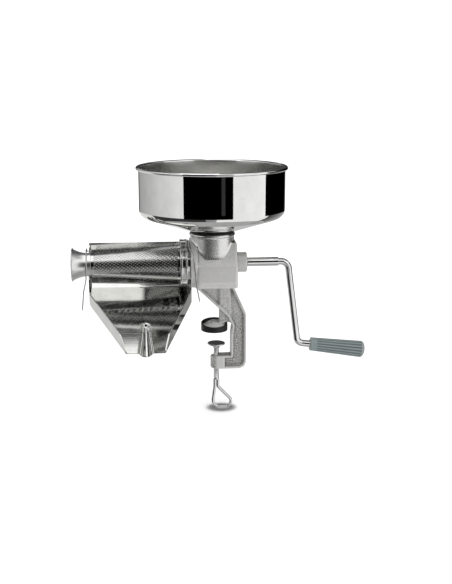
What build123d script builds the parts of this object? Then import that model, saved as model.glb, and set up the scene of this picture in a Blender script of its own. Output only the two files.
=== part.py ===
"""Hand-cranked tomato strainer with a table clamp.

Frame: +X runs along the crank shaft towards the crank, +Z is up, and the pouring
tray opens towards -Y. The origin lies on the clamp screw's axis, in the plane of
the upper jaw pad's lower face, where the table top comes. All sizes are in mm.
"""

import math
import os

from build123d import *

os.makedirs("parts", exist_ok=True)

# ---------------------------------------------------------------- driving sizes
# Fits
static_fit = 0.02             # pressed or glued round seats
running_fit = 0.06            # shaft in bush, radial
loose_fit = 0.3               # pieces that come apart by hand
end_play = 0.2                # along a shaft that turns

# Filter, outlet and collar
cone_large_r = 27.0
cone_small_r = 16.0
cone_length = 127.5
screen_thickness = 1.0
screen_socket = 7.0           # screen's narrow end inside the outlet's sleeve
filter_seat_depth = 7.0
collar_gap = 3.6              # slot between the collar and the body's flange
collar_length = 10.7
collar_step = 1.4             # collar's rim lies this far inside the flange's rim
collar_edge_r = 1.4
outlet_sleeve_length = 8.0
outlet_wall = 1.0
outlet_flare = 7.4            # rim of the outlet, out past its neck
outlet_flare_length = 19.6
outlet_bead_r = 0.9

# Cast body
shaft_height = 102.0          # crank shaft above the table plane
neck_x = -5.5                 # axis of neck and hopper, seen from the screw's axis
barrel_front = -29.5          # X of the barrel's front end, behind the flange
barrel_length = 58.5
casting_wall = 5.7
face_land = 4.3               # how far the flat side faces stand out past the round wall
face_height = 22.5            # height of the flat side faces, below the crease
barrel_edge_r = 2.0
back_wall = 7.0
flange_step = 4.3             # flange's rim, out past the round wall
flange_length = 9.0
neck_r = 32.0
neck_height = 44.5            # lip of the neck above the shaft
neck_lip_height = 3.4
neck_lip_out = 1.0
feed_r = 24.0                 # feed hole from the neck into the barrel
boss_r = 14.5
boss_length = 15.6

# Clamp frame
jaw_opening = 38.0            # from the table plane down to the lower arm
frame_depth = 21.0
web_thickness = 8.0
rib_width = 3.3
rib_corner_r = 2.0
arm_height = 20.0
spine_inner_x = 21.0
spine_outer_x = 44.0
heel_r = 11.0                 # outer corner below the spine
throat_r = 5.0                # inner corner at the lower arm
slope_drop = 4.0              # frame leaves the barrel this far below its underside
shoulder_height = 60.0        # inner shoulder above the lower arm
shoulder_out = 4.0
hollow_height = 46.0          # hollow under the shoulder, above the lower arm
hollow_in = 2.0
inner_straight = 32.0         # straight inner face of the spine
outer_straight = 63.0         # from the lower arm up to the outer shoulder
back_inset = 5.0              # frame's back edge, in from the barrel's back
screw_boss_r = 8.7
screw_boss_step = 1.0         # boss stops short of the arm's top face

# Upper jaw and its boot
jaw_x = -2.8                  # centre of the upper jaw, seen from the screw's axis
jaw_disc_r = 17.4
jaw_disc_height = 6.0
jaw_cone_height = 6.5
jaw_cone_top_r = 7.0
jaw_web_depth = 14.0
jaw_web_inset = 2.0           # web stands inside the boot's wall
pad_floor = 2.0
pad_wall = 2.2
pad_side_height = 11.5
pad_rim_tilt = 9.0            # degrees, the boot's rim stands higher at the back

# Clamp screw
screw_r = 4.0
disc_gap = 19.8               # clamp disc's top face below the table plane, at rest
disc_r = 13.2
disc_thickness = 2.2
disc_edge_r = 0.6
disc_hub_height = 5.2
disc_hub_r = 4.9
disc_hub_flare_r = 7.3
screw_tip_r = 2.9
screw_tip_length = 4.6
screw_below_arm = 19.0        # end of the round shank below the lower arm
loop_wire_r = 2.25
loop_r = 11.45                # centre line of the loop's round bottom
loop_offset = 6.4             # the loop leans to the crank's side
loop_drop = 32.6              # shank end to the centre of the loop's round bottom
strand_gap = 0.1              # between the two strands under the shank
strand_length = 11.7
strand_root = 0.5             # strands run this far up into the shank
strand_bend_r = (8.0, 6.0)

# Hopper
gasket_thickness = 2.4
gasket_width = 3.6
gasket_inset = 1.1            # gasket's outer edge in from the lip's
hopper_wall_r = 104.5
hopper_height = 93.6          # top of the rim above the seat
hopper_sheet = 1.0
hopper_cone_angle = 18.0
hopper_corner_r = 12.0
hopper_bead_r = 2.4
spigot_length = 16.0
spigot_clear = 3.4            # free height under the spigot, in the neck
spigot_seat = 2.6

# Auger and its drive
auger_clearance = 1.1
auger_pitch = 28.0
auger_core_r = 9.0
auger_tip_core_r = 7.0
auger_tip_r = 4.2
auger_tip_length = 4.0
auger_hub_r = 12.5
auger_hub_length = 13.0
auger_hub_taper = 4.0
flight_root = 5.0
flight_tip = 2.6
flight_lead_in = 7.8          # flight starts this far into the hub
auger_end_gap = 8.0
shaft_r = 6.0
shaft_depth = 46.0            # how far the spindle reaches into the auger
pin_r = 2.0
pin_inset = 1.5               # pin's ends under the hub's surface
bush_wall = 3.0
seal_length = 3.0
thrust_washer = 0.8

# Crank
rod_r = 5.0
sleeve_wall = 1.4
sleeve_length = 46.4
stub_length = 21.0
rod_insert = 16.0
rod_showing = 14.2            # bare rod from the sleeve to the corner of its bend
arm_length = 126.0
arm_lean = 7.5                # degrees, outwards, so that the arm clears the hopper
upper_bend_r = 12.0
lower_bend_r = 10.0
grip_start = 19.6             # grip's inner end, seen from the lower corner of the rod
grip_length = 84.0
grip_inner_r = 10.0
grip_outer_r = 12.4
grip_collar = 8.0
grip_collar_rise = 0.2
grip_flutes = 16
flute_width = 1.7
flute_depth = 0.8
grip_recess_depth = 8.0
grip_wall = 3.6               # wall round the recess in the grip's outer end
grip_cap_length = 6.5
cap_plug_depth = 2.5
washer_clear = 0.8            # rod washer in from the recess's wall
rod_washer = 1.2
rod_end_past_washer = 1.6

# Juice tray
tray_past_cone = 4.2          # tray's left wall past the screen's narrow end
tray_over_flange = 2.5        # tray's right wall over the flange
tray_back_clear = 2.5         # back wall behind the flange
tray_back_height = 25.0
tray_sheet = 1.0
tray_slope = 24.0
tray_depth = 52.7             # tray floor under the shaft's axis
tray_back_bend_r = 28.0
tray_reach = 112.0            # front lip from the shaft's axis
tray_taper_start = 12.0       # depth from the axis where the side walls turn in
lip_width = 54.7
lip_offset = 6.2              # lip's middle towards the crank, off the tray's middle
side_wall = 18.0
lip_ease = 13.0               # side walls run out over this length behind the lip
guard_land = 4.0              # top of the end walls beside the back guard
guard_step = (8.0, 3.0)       # from there, forwards and down
guard_shoulder = (22.0, 10.0) # depth and height of the end walls' shoulder
cradle_lip = (6.0, 4.0)       # front of the outlet's cradle, forwards and down
channel_start = 58.0          # rounded end of the channel from the shaft's axis
channel_start_r = 4.6
channel_end_r = 11.0
channel_sink = 4.5            # channel's centre line above the floor, at the lip

# Wire clips
clip_wire_r = 0.9
clip_plane_gap = 1.1          # wire's surface off the tray's left wall
clip_hook = 2.5               # hooked end past the wall
clip_bend_r = 1.6
clip_knuckle = 3.0            # bend outside the left wall
nozzle_pivot_out = 14.0       # left clip's pivot, out past the outlet's neck
nozzle_pivot_angle = 28.0     # degrees above the shaft's axis, at the back
collar_pivot_out = 3.4        # right clip's pivot, out past the flange
collar_pivot_angle = 27.0
nozzle_arch_rise = (5.5, 2.4, 2.2, 7.5)   # wire's corners, out past the outlet's neck
nozzle_arch_angle = (62.0, 112.0, 165.0, 222.0)
nozzle_tail_rise = (24.0, 34.0, 48.0)
nozzle_tail_angle = (236.0, 242.0, 248.0)
nozzle_tail_out = (0.6, 4.5, 5.5, 7.0)    # the tail leans away from the tray
nozzle_bends = (1.6, 3.0, 8.0, 9.0, 9.0, 8.0, 6.0)
collar_arch_in = (-0.6, 1.2)              # over the collar, in from its rim
collar_arch_angle = (60.0, 95.0, 133.0)
collar_tail_rise = (3.4, 3.6, 14.5, 27.0) # out past the flange's side
collar_tail_angle = (158.0, 194.0, 215.0, 228.0)
collar_tail_along = (4.2, 6.8, 8.6, 12.0) # from the flange's front face
collar_bends = (1.6, 6.0, 12.0, 12.0, 12.0, 12.0, 8.0)

# ---------------------------------------------------------------- derived places
z_shaft = shaft_height
barrel_bore_r = cone_large_r - screen_thickness
barrel_r = barrel_bore_r + casting_wall
half_depth = barrel_r + face_land
flange_r = barrel_r + flange_step
barrel_back = barrel_front + barrel_length
flange_front = barrel_front - flange_length
chamber_back = barrel_back - back_wall
boss_end = barrel_back + boss_length
neck_top = z_shaft + neck_height
seat_z = neck_top + gasket_thickness
gasket_r = neck_r + neck_lip_out - gasket_inset
spigot_bore_r = gasket_r - gasket_width
spigot_r = spigot_bore_r - loose_fit
bush_r = shaft_r + running_fit + bush_wall
arm_drop = z_shaft + jaw_opening
arm_top = -jaw_opening
arm_bottom = arm_top - arm_height
screw_bore_r = screw_r + running_fit
jaw_r = jaw_disc_r + static_fit + pad_wall
jaw_top = pad_floor + jaw_disc_height

filter_seat_x = flange_front + filter_seat_depth
collar_back = flange_front - collar_gap
collar_front = collar_back - collar_length
collar_r = flange_r - collar_step
cone_end = collar_front - cone_length
sleeve_bore_r = cone_small_r + static_fit
outlet_neck_r = sleeve_bore_r + outlet_wall
outlet_rim_r = outlet_neck_r + outlet_flare
outlet_neck_end = cone_end - outlet_sleeve_length
outlet_rim_x = outlet_neck_end - outlet_flare_length

hub_face = chamber_back - thrust_washer - end_play
auger_end = cone_end + auger_end_gap
pin_x = hub_face - auger_hub_length / 2
sleeve_start = boss_end + loose_fit
sleeve_end = sleeve_start + sleeve_length
sleeve_r = rod_r + static_fit + sleeve_wall
bend_x = sleeve_end + rod_showing

tray_left = cone_end - tray_past_cone
tray_right = flange_front + tray_over_flange
tray_back = flange_r + tray_back_clear
tray_width = tray_right - tray_left
tray_front = -tray_reach
lip_x = (tray_left + tray_right) / 2 + lip_offset
cut_length = 400.0            # longer than the whole object, for cuts that go right through

shaft_plane = Plane(origin=(0, 0, z_shaft), x_dir=(0, 1, 0), z_dir=(1, 0, 0))
side_plane = Plane(origin=(0, 0, z_shaft), x_dir=(1, 0, 0), z_dir=(0, -1, 0))
shaft_axis = Axis((0, 0, z_shaft), (1, 0, 0))
neck_plane = Plane(origin=(neck_x, 0, 0), x_dir=(1, 0, 0), z_dir=(0, -1, 0))
neck_axis = Axis((neck_x, 0, 0), (0, 0, 1))


def finish(piece, name):
    """Label a finished piece and write it to its own file."""
    piece.part.label = name
    export_step(piece.part, f"parts/{name}.step")


def around_shaft(radius, angle):
    """Depth and height of a point by its radius and its angle from the back, over the top."""
    turn = math.radians(angle)
    return radius * math.cos(turn), radius * math.sin(turn)


# ---------------------------------------------------------------- cast body
# C-shaped clamp frame in side view: inner edge down the slope and the spine,
# then the lower arm, then back up the outer edge into the barrel.
frame_outline = [
    (barrel_front, -barrel_bore_r),
    (barrel_front, -barrel_r - slope_drop),
    (spine_inner_x - shoulder_out, shoulder_height - arm_drop),
    (spine_inner_x + hollow_in, hollow_height - arm_drop),
    (spine_inner_x, inner_straight - arm_drop),
    (spine_inner_x, -arm_drop),
    (0, -arm_drop),
    (0, -arm_drop - arm_height),
    (spine_outer_x, -arm_drop - arm_height),
    (spine_outer_x, outer_straight - arm_drop),
    (barrel_back - back_inset, -barrel_r),
    (barrel_back - back_inset, -barrel_bore_r),
]
foot_corner = Vector(spine_outer_x, -arm_drop - arm_height)
arm_corner = Vector(spine_inner_x, -arm_drop)

# The jaw's web rises from inside the boot and passes over the boot's rim
rim_rise = jaw_web_depth / 2 * math.tan(math.radians(pad_rim_tilt))
web_low = pad_side_height + rim_rise + loose_fit - z_shaft
web_left = jaw_x + jaw_cone_top_r
web_right = jaw_x + jaw_disc_r - jaw_web_inset
jaw_web_outline = [
    (web_left, jaw_top - z_shaft),
    (web_left, -barrel_bore_r),
    (spine_inner_x, -barrel_bore_r),
    (spine_inner_x + hollow_in, web_low),
    (web_right, web_low),
    (web_right - jaw_web_inset, jaw_top - z_shaft),
]

with BuildPart() as clamp_frame:
    with BuildSketch(side_plane.offset(-frame_depth / 2)) as frame_profile:
        with BuildLine():
            Polyline(*frame_outline, close=True)
        make_face()
        fillet(frame_profile.vertices().sort_by_distance(foot_corner)[0], heel_r)
        fillet(frame_profile.vertices().sort_by_distance(arm_corner)[0], throat_r)
    extrude(amount=frame_depth)
    for side in (1, -1):
        with BuildSketch(side_plane.offset(side * web_thickness / 2)) as pocket:
            with BuildLine():
                Polyline(*frame_outline, close=True)
            make_face()
            offset(amount=-rib_width)
            with Locations((0, -arm_drop - arm_height / 2)):
                Rectangle(2 * (screw_boss_r + rib_width), 2 * arm_height, mode=Mode.SUBTRACT)
            fillet(pocket.vertices(), rib_corner_r)
        extrude(amount=side * frame_depth / 2, mode=Mode.SUBTRACT)

with BuildPart() as body_casting:
    # Barrel: round bore inside a casting with flat side faces
    wall_angle = math.asin(barrel_r / half_depth)
    top_half = half_depth - barrel_r / math.tan(wall_angle)
    low_half = half_depth - (barrel_r - face_height)
    with BuildSketch(shaft_plane.offset(barrel_front)):
        with BuildLine():
            Polyline(
                (half_depth, 0), (half_depth, -face_height), (low_half, -barrel_r),
                (-low_half, -barrel_r), (-half_depth, -face_height), (-half_depth, 0),
                (-top_half, barrel_r), (top_half, barrel_r), close=True,
            )
        make_face()
    extrude(amount=barrel_length)
    fillet(body_casting.faces().sort_by(Axis.X)[-1].edges(), barrel_edge_r)
    add(clamp_frame.part)
    # Screw boss at the end of the lower arm
    with BuildSketch(Plane.XY.offset(arm_bottom)):
        Circle(screw_boss_r)
    extrude(amount=arm_height - screw_boss_step)
    # Upper jaw: disc, low cone and the web that joins them to the frame
    with BuildSketch(Plane.XY.offset(pad_floor)):
        with Locations((jaw_x, 0)):
            Circle(jaw_disc_r)
    extrude(amount=jaw_disc_height)
    with Locations((jaw_x, 0, jaw_top)):
        Cone(jaw_disc_r, jaw_cone_top_r, jaw_cone_height,
             align=(Align.CENTER, Align.CENTER, Align.MIN))
    with BuildSketch(side_plane.offset(-jaw_web_depth / 2)):
        with BuildLine():
            Polyline(*jaw_web_outline, close=True)
        make_face()
    extrude(amount=jaw_web_depth)
    with BuildSketch(shaft_plane.offset(flange_front)):
        Circle(flange_r)
    extrude(amount=flange_length)
    with BuildSketch(shaft_plane.offset(barrel_back - barrel_edge_r)):
        Circle(boss_r)
    extrude(amount=boss_length + barrel_edge_r)
    # Neck with its lip
    with BuildSketch(Plane.XY.offset(z_shaft)):
        with Locations((neck_x, 0)):
            Circle(neck_r)
    extrude(amount=neck_height)
    with BuildSketch(Plane.XY.offset(neck_top - neck_lip_height)):
        with Locations((neck_x, 0)):
            Circle(neck_r + neck_lip_out)
    extrude(amount=neck_lip_height)
    # Hollows: hopper seat, feed hole, barrel, filter seat, bush seat, screw bore
    with BuildSketch(Plane.XY.offset(seat_z - spigot_length - spigot_clear)):
        with Locations((neck_x, 0)):
            Circle(spigot_bore_r)
    extrude(amount=spigot_length + spigot_clear, mode=Mode.SUBTRACT)
    with BuildSketch(Plane.XY.offset(z_shaft)):
        with Locations((neck_x, 0)):
            Circle(feed_r)
    extrude(amount=neck_height, mode=Mode.SUBTRACT)
    with BuildSketch(shaft_plane.offset(flange_front)):
        Circle(barrel_bore_r)
    extrude(amount=chamber_back - flange_front, mode=Mode.SUBTRACT)
    with BuildSketch(shaft_plane.offset(flange_front)):
        Circle(cone_large_r + running_fit)
    extrude(amount=filter_seat_depth, mode=Mode.SUBTRACT)
    with BuildSketch(shaft_plane.offset(chamber_back)):
        Circle(bush_r + static_fit)
    extrude(amount=boss_end - chamber_back, mode=Mode.SUBTRACT)
    with BuildSketch(Plane.XY.offset(arm_bottom)):
        Circle(screw_bore_r)
    extrude(amount=arm_height, mode=Mode.SUBTRACT)
finish(body_casting, "body_casting")

# ---------------------------------------------------------------- bearing pieces
with BuildPart() as thrust_ring:
    with BuildSketch(shaft_plane.offset(chamber_back - thrust_washer)):
        Circle(auger_hub_r)
        Circle(shaft_r + loose_fit, mode=Mode.SUBTRACT)
    extrude(amount=thrust_washer)
finish(thrust_ring, "thrust_washer")

with BuildPart() as shaft_seal:
    with BuildSketch(shaft_plane.offset(chamber_back)):
        Circle(bush_r)
        Circle(shaft_r + running_fit, mode=Mode.SUBTRACT)
    extrude(amount=seal_length)
finish(shaft_seal, "shaft_seal")

with BuildPart() as rear_bush:
    with BuildSketch(shaft_plane.offset(chamber_back + seal_length)):
        Circle(bush_r)
        Circle(shaft_r + running_fit, mode=Mode.SUBTRACT)
    extrude(amount=boss_end - chamber_back - seal_length)
finish(rear_bush, "rear_bush")

# ---------------------------------------------------------------- upper jaw boot
with BuildPart() as jaw_pad:
    with BuildSketch(Plane.XY):
        with Locations((jaw_x, 0)):
            Circle(jaw_r)
    extrude(amount=2 * pad_side_height)
    with BuildSketch(Plane.XY.offset(pad_floor)):
        with Locations((jaw_x, 0)):
            Circle(jaw_disc_r + static_fit)
    extrude(amount=2 * pad_side_height, mode=Mode.SUBTRACT)
    rim_plane = Plane(origin=(jaw_x, 0, pad_side_height), x_dir=(1, 0, 0),
                      z_dir=(0, -math.sin(math.radians(pad_rim_tilt)),
                             math.cos(math.radians(pad_rim_tilt))))
    split(bisect_by=rim_plane, keep=Keep.BOTTOM)
finish(jaw_pad, "jaw_pad")

# ---------------------------------------------------------------- clamp disc and screw
disc_bottom = -disc_gap - disc_thickness
hub_bottom = disc_bottom - disc_hub_height
with BuildPart() as clamp_disc:
    with BuildSketch(Plane.XY.offset(disc_bottom)):
        Circle(disc_r)
    extrude(amount=disc_thickness)
    fillet(clamp_disc.edges().group_by(Axis.Z)[-1], disc_edge_r)
    with Locations((0, 0, disc_bottom)):
        Cone(disc_hub_r, disc_hub_flare_r, disc_hub_height,
             align=(Align.CENTER, Align.CENTER, Align.MAX))
    with BuildSketch(Plane.XY.offset(hub_bottom)):
        Circle(screw_tip_r + running_fit)
    extrude(amount=screw_tip_length + loose_fit, mode=Mode.SUBTRACT)
finish(clamp_disc, "clamp_disc")

screw_top = hub_bottom - running_fit
shank_end = arm_bottom - screw_below_arm
strand_x = loop_wire_r + strand_gap / 2
loop_bottom = -loop_drop - loop_r


def tangent_slope(strand, side):
    """Sideways run per unit of drop, of the line from a strand that touches the loop."""
    across = loop_offset - strand
    down = loop_drop - strand_length
    reach = math.hypot(across, down)
    return math.tan(math.atan2(across, down) + side * math.asin(loop_r / reach))


below_strands = -loop_bottom - strand_length
left_foot = -strand_x + below_strands * tangent_slope(-strand_x, -1)
right_foot = strand_x + below_strands * tangent_slope(strand_x, 1)
loop_plane = Plane(origin=(0, 0, shank_end), x_dir=(1, 0, 0), z_dir=(0, -1, 0))
with BuildPart() as clamp_screw:
    with BuildSketch(Plane.XY.offset(shank_end)):
        Circle(screw_r)
    extrude(amount=screw_top - shank_end)
    with BuildSketch(Plane.XY.offset(screw_top)):
        Circle(screw_tip_r)
    extrude(amount=screw_tip_length)
    with BuildLine(loop_plane) as loop_path:
        FilletPolyline(
            (-strand_x, strand_root), (-strand_x, -strand_length), (left_foot, loop_bottom),
            (right_foot, loop_bottom), (strand_x, -strand_length), (strand_x, strand_root),
            radius=[strand_bend_r[0], loop_r - loose_fit, loop_r - loose_fit,
                    strand_bend_r[1]],
        )
    with BuildSketch(Plane.XY.offset(shank_end + strand_root)):
        with Locations((-strand_x, 0)):
            Circle(loop_wire_r)
    sweep(path=loop_path.line)
finish(clamp_screw, "clamp_screw")

# ---------------------------------------------------------------- hopper and gasket
with BuildPart() as neck_gasket:
    with BuildSketch(Plane.XY.offset(neck_top)):
        with Locations((neck_x, 0)):
            Circle(gasket_r)
            Circle(spigot_bore_r, mode=Mode.SUBTRACT)
    extrude(amount=gasket_thickness)
finish(neck_gasket, "neck_gasket")

seat_r = spigot_r + spigot_seat
cone_rise = math.tan(math.radians(hopper_cone_angle))
hopper_corner_z = seat_z + (hopper_wall_r - seat_r) * cone_rise
bead_z = seat_z + hopper_height - hopper_bead_r
with BuildPart() as hopper_bowl:
    with BuildSketch(neck_plane):
        with BuildLine():
            FilletPolyline(
                (spigot_r, seat_z - spigot_length), (spigot_r, seat_z), (seat_r, seat_z),
                (hopper_wall_r, hopper_corner_z), (hopper_wall_r, bead_z),
                radius=[loose_fit, loose_fit, hopper_corner_r],
            )
            offset(amount=hopper_sheet, side=Side.LEFT)
        make_face()
    revolve(axis=neck_axis)
    with BuildSketch(neck_plane):
        with Locations((hopper_wall_r + hopper_bead_r - hopper_sheet, bead_z)):
            Circle(hopper_bead_r)
    revolve(axis=neck_axis)
finish(hopper_bowl, "hopper_bowl")

# ---------------------------------------------------------------- filter
screen_end = cone_end - screen_socket
with BuildPart() as filter_cone:
    with BuildSketch(side_plane):
        with BuildLine():
            Polyline(
                (screen_end, cone_small_r), (cone_end, cone_small_r),
                (collar_front, cone_large_r), (filter_seat_x, cone_large_r),
                (filter_seat_x, cone_large_r - screen_thickness),
                (collar_front, cone_large_r - screen_thickness),
                (cone_end, cone_small_r - screen_thickness),
                (screen_end, cone_small_r - screen_thickness),
                close=True,
            )
        make_face()
    revolve(axis=shaft_axis)
finish(filter_cone, "filter_cone")

with BuildPart() as filter_collar:
    with BuildSketch(shaft_plane.offset(collar_front)):
        Circle(collar_r)
        Circle(cone_large_r + static_fit, mode=Mode.SUBTRACT)
    extrude(amount=collar_length)
    outer_edges = filter_collar.edges().filter_by(GeomType.CIRCLE).sort_by(
        SortBy.RADIUS)[-2:]
    fillet(outer_edges, collar_edge_r)
finish(filter_collar, "filter_collar")

flare_mid_x = outlet_neck_end - 0.55 * outlet_flare_length
flare_mid_r = outlet_neck_r + 0.42 * outlet_flare
with BuildPart() as skin_outlet:
    with BuildSketch(side_plane):
        with BuildLine():
            Polyline((outlet_neck_end, sleeve_bore_r), (cone_end, sleeve_bore_r),
                     (cone_end, outlet_neck_r), (outlet_neck_end, outlet_neck_r))
            ThreePointArc((outlet_neck_end, outlet_neck_r), (flare_mid_x, flare_mid_r),
                          (outlet_rim_x, outlet_rim_r))
            Line((outlet_rim_x, outlet_rim_r), (outlet_rim_x, outlet_rim_r - outlet_wall))
            ThreePointArc((outlet_rim_x, outlet_rim_r - outlet_wall),
                          (flare_mid_x, flare_mid_r - outlet_wall),
                          (outlet_neck_end, sleeve_bore_r))
        make_face()
    revolve(axis=shaft_axis)
    with BuildSketch(side_plane):
        with Locations((outlet_rim_x + outlet_bead_r, outlet_rim_r)):
            Circle(outlet_bead_r)
    revolve(axis=shaft_axis)
finish(skin_outlet, "skin_outlet")

# ---------------------------------------------------------------- auger and spindle
cone_rate = (cone_large_r - cone_small_r) / cone_length
flight_r = barrel_bore_r - auger_clearance
flight_end_r = flight_r - (collar_front - auger_end) * cone_rate
flight_start = hub_face - flight_lead_in
flight_run = flight_start - auger_end - auger_tip_length
blade_in = -auger_core_r / 2
blade_out = flight_r - auger_core_r + auger_clearance
with BuildPart() as auger:
    with BuildLine():
        coil = Helix(auger_pitch, flight_run, auger_core_r,
                     center=(flight_start, 0, z_shaft), direction=(-1, 0, 0))
    radial = (coil @ 0 - Vector(flight_start, 0, z_shaft)).normalized()
    with BuildSketch(Plane(origin=coil @ 0, x_dir=radial, z_dir=coil % 0)):
        with BuildLine():
            Polyline(
                (blade_in, -flight_root / 2), (blade_out, -flight_tip / 2),
                (blade_out, flight_tip / 2), (blade_in, flight_root / 2), close=True,
            )
        make_face()
    sweep(path=coil, is_frenet=True)
    # The flight's edge follows the screen's taper, then the barrel's straight wall
    with BuildSketch(side_plane):
        with BuildLine():
            far_r = flight_end_r + (hub_face - auger_end) * cone_rate
            Polyline((hub_face, 0), (hub_face, far_r), (auger_end, flight_end_r),
                     (auger_end, 0), close=True)
        make_face()
    revolve(axis=shaft_axis, mode=Mode.INTERSECT)
    with BuildSketch(shaft_plane.offset(auger_end)):
        Circle(flight_r)
    extrude(amount=hub_face - auger_end, mode=Mode.INTERSECT)
    with BuildSketch(side_plane):
        with BuildLine():
            Polyline(
                (hub_face, 0), (hub_face, auger_hub_r),
                (hub_face - auger_hub_length, auger_hub_r),
                (hub_face - auger_hub_length - auger_hub_taper, auger_core_r),
                (auger_end, auger_tip_core_r), (auger_end - auger_tip_length, auger_tip_r),
                (auger_end - auger_tip_length, 0), close=True,
            )
        make_face()
    revolve(axis=shaft_axis)
    with BuildSketch(shaft_plane.offset(hub_face)):
        Circle(shaft_r + static_fit)
    extrude(amount=-shaft_depth, mode=Mode.SUBTRACT)
    with BuildSketch(Plane.XZ.offset(-auger_hub_r)):
        with Locations((pin_x, z_shaft)):
            Circle(pin_r + static_fit)
    extrude(amount=2 * auger_hub_r, mode=Mode.SUBTRACT)
finish(auger, "auger")

with BuildPart() as auger_spindle:
    with BuildSketch(shaft_plane.offset(hub_face - shaft_depth)):
        Circle(shaft_r)
    extrude(amount=sleeve_start - hub_face + shaft_depth)
    with BuildSketch(shaft_plane.offset(sleeve_start)):
        Circle(rod_r)
    extrude(amount=stub_length)
    with BuildSketch(Plane.XZ.offset(-auger_hub_r)):
        with Locations((pin_x, z_shaft)):
            Circle(pin_r + static_fit)
    extrude(amount=2 * auger_hub_r, mode=Mode.SUBTRACT)
finish(auger_spindle, "auger_spindle")

pin_half = auger_hub_r - pin_inset
with BuildPart() as drive_pin:
    with BuildSketch(Plane.XZ.offset(-pin_half)):
        with Locations((pin_x, z_shaft)):
            Circle(pin_r)
    extrude(amount=2 * pin_half)
finish(drive_pin, "drive_pin")

# ---------------------------------------------------------------- crank and grip
with BuildPart() as crank_sleeve:
    with BuildSketch(shaft_plane.offset(sleeve_start)):
        Circle(sleeve_r)
        Circle(rod_r + static_fit, mode=Mode.SUBTRACT)
    extrude(amount=sleeve_length)
finish(crank_sleeve, "crank_sleeve")

lean = math.radians(arm_lean)
corner = (bend_x + arm_length * math.sin(lean), -arm_length * math.cos(lean))
grip_dir = (math.cos(lean), 0, -math.sin(lean))
grip_origin = (corner[0], 0, z_shaft + corner[1])
grip_plane = Plane(origin=grip_origin, x_dir=grip_dir, z_dir=(0, -1, 0))
grip_cross = Plane(origin=grip_origin, x_dir=(0, 1, 0), z_dir=grip_dir)
grip_axis = Axis(grip_origin, grip_dir)
grip_end = grip_start + grip_length
body_end = grip_end - grip_cap_length
recess_r = grip_outer_r - grip_wall
washer_at = body_end - grip_recess_depth + loose_fit
rod_tip = washer_at + rod_washer + rod_end_past_washer
with BuildPart() as crank_rod:
    with BuildLine(side_plane) as rod_path:
        FilletPolyline(
            (sleeve_end - rod_insert, 0), (bend_x, 0), corner,
            (corner[0] + rod_tip * math.cos(lean), corner[1] - rod_tip * math.sin(lean)),
            radius=[upper_bend_r, lower_bend_r],
        )
    with BuildSketch(shaft_plane.offset(sleeve_end - rod_insert)):
        Circle(rod_r)
    sweep(path=rod_path.line)
finish(crank_rod, "crank_rod")

with BuildPart() as grip_washer:
    with BuildSketch(grip_cross.offset(washer_at)):
        Circle(recess_r - washer_clear)
        Circle(rod_r + static_fit, mode=Mode.SUBTRACT)
    extrude(amount=rod_washer)
finish(grip_washer, "grip_washer")

flute_start = grip_start + grip_collar
flute_end = body_end + 1.0
collar_end_r = grip_inner_r + grip_collar_rise
with BuildPart() as flute:
    with BuildSketch(grip_plane.offset(-flute_width / 2)):
        with BuildLine():
            Polyline(
                (flute_start, collar_end_r - flute_depth),
                (flute_end, grip_outer_r - flute_depth),
                (flute_end, grip_outer_r + flute_depth),
                (flute_start, grip_outer_r + flute_depth), close=True,
            )
        make_face()
    extrude(amount=flute_width)

with BuildPart() as grip:
    with BuildSketch(grip_plane):
        with BuildLine():
            Polyline(
                (grip_start, 0), (grip_start, grip_inner_r), (flute_start, collar_end_r),
                (body_end, grip_outer_r), (body_end, 0), close=True,
            )
        make_face()
    revolve(axis=grip_axis)
    with BuildSketch(grip_cross.offset(grip_start)):
        Circle(rod_r + running_fit)
    extrude(amount=grip_length, mode=Mode.SUBTRACT)
    with BuildSketch(grip_cross.offset(body_end)):
        Circle(recess_r)
    extrude(amount=-grip_recess_depth, mode=Mode.SUBTRACT)
    for i in range(grip_flutes):
        add(flute.part.rotate(grip_axis, i * 360 / grip_flutes), mode=Mode.SUBTRACT)
finish(grip, "grip")

plug_r = recess_r - static_fit
plug_face = body_end - cap_plug_depth
with BuildPart() as grip_cap:
    with BuildSketch(grip_plane):
        with BuildLine():
            Polyline((grip_end, 0), (plug_face, 0), (plug_face, plug_r), (body_end, plug_r),
                     (body_end, grip_outer_r))
            EllipticalCenterArc((body_end, 0), grip_cap_length, grip_outer_r,
                                start_angle=0, arc_size=90)
        make_face()
    revolve(axis=grip_axis)
finish(grip_cap, "grip_cap")

# ---------------------------------------------------------------- juice tray
slope = math.radians(tray_slope)
front_plane = Plane(origin=(0, tray_front, 0), x_dir=(1, 0, 0), z_dir=(0, -1, 0))


def floor_z(y):
    """Height of the tray floor's underside over the shaft's axis, at a depth y."""
    return -tray_depth + y * math.tan(slope)


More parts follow.
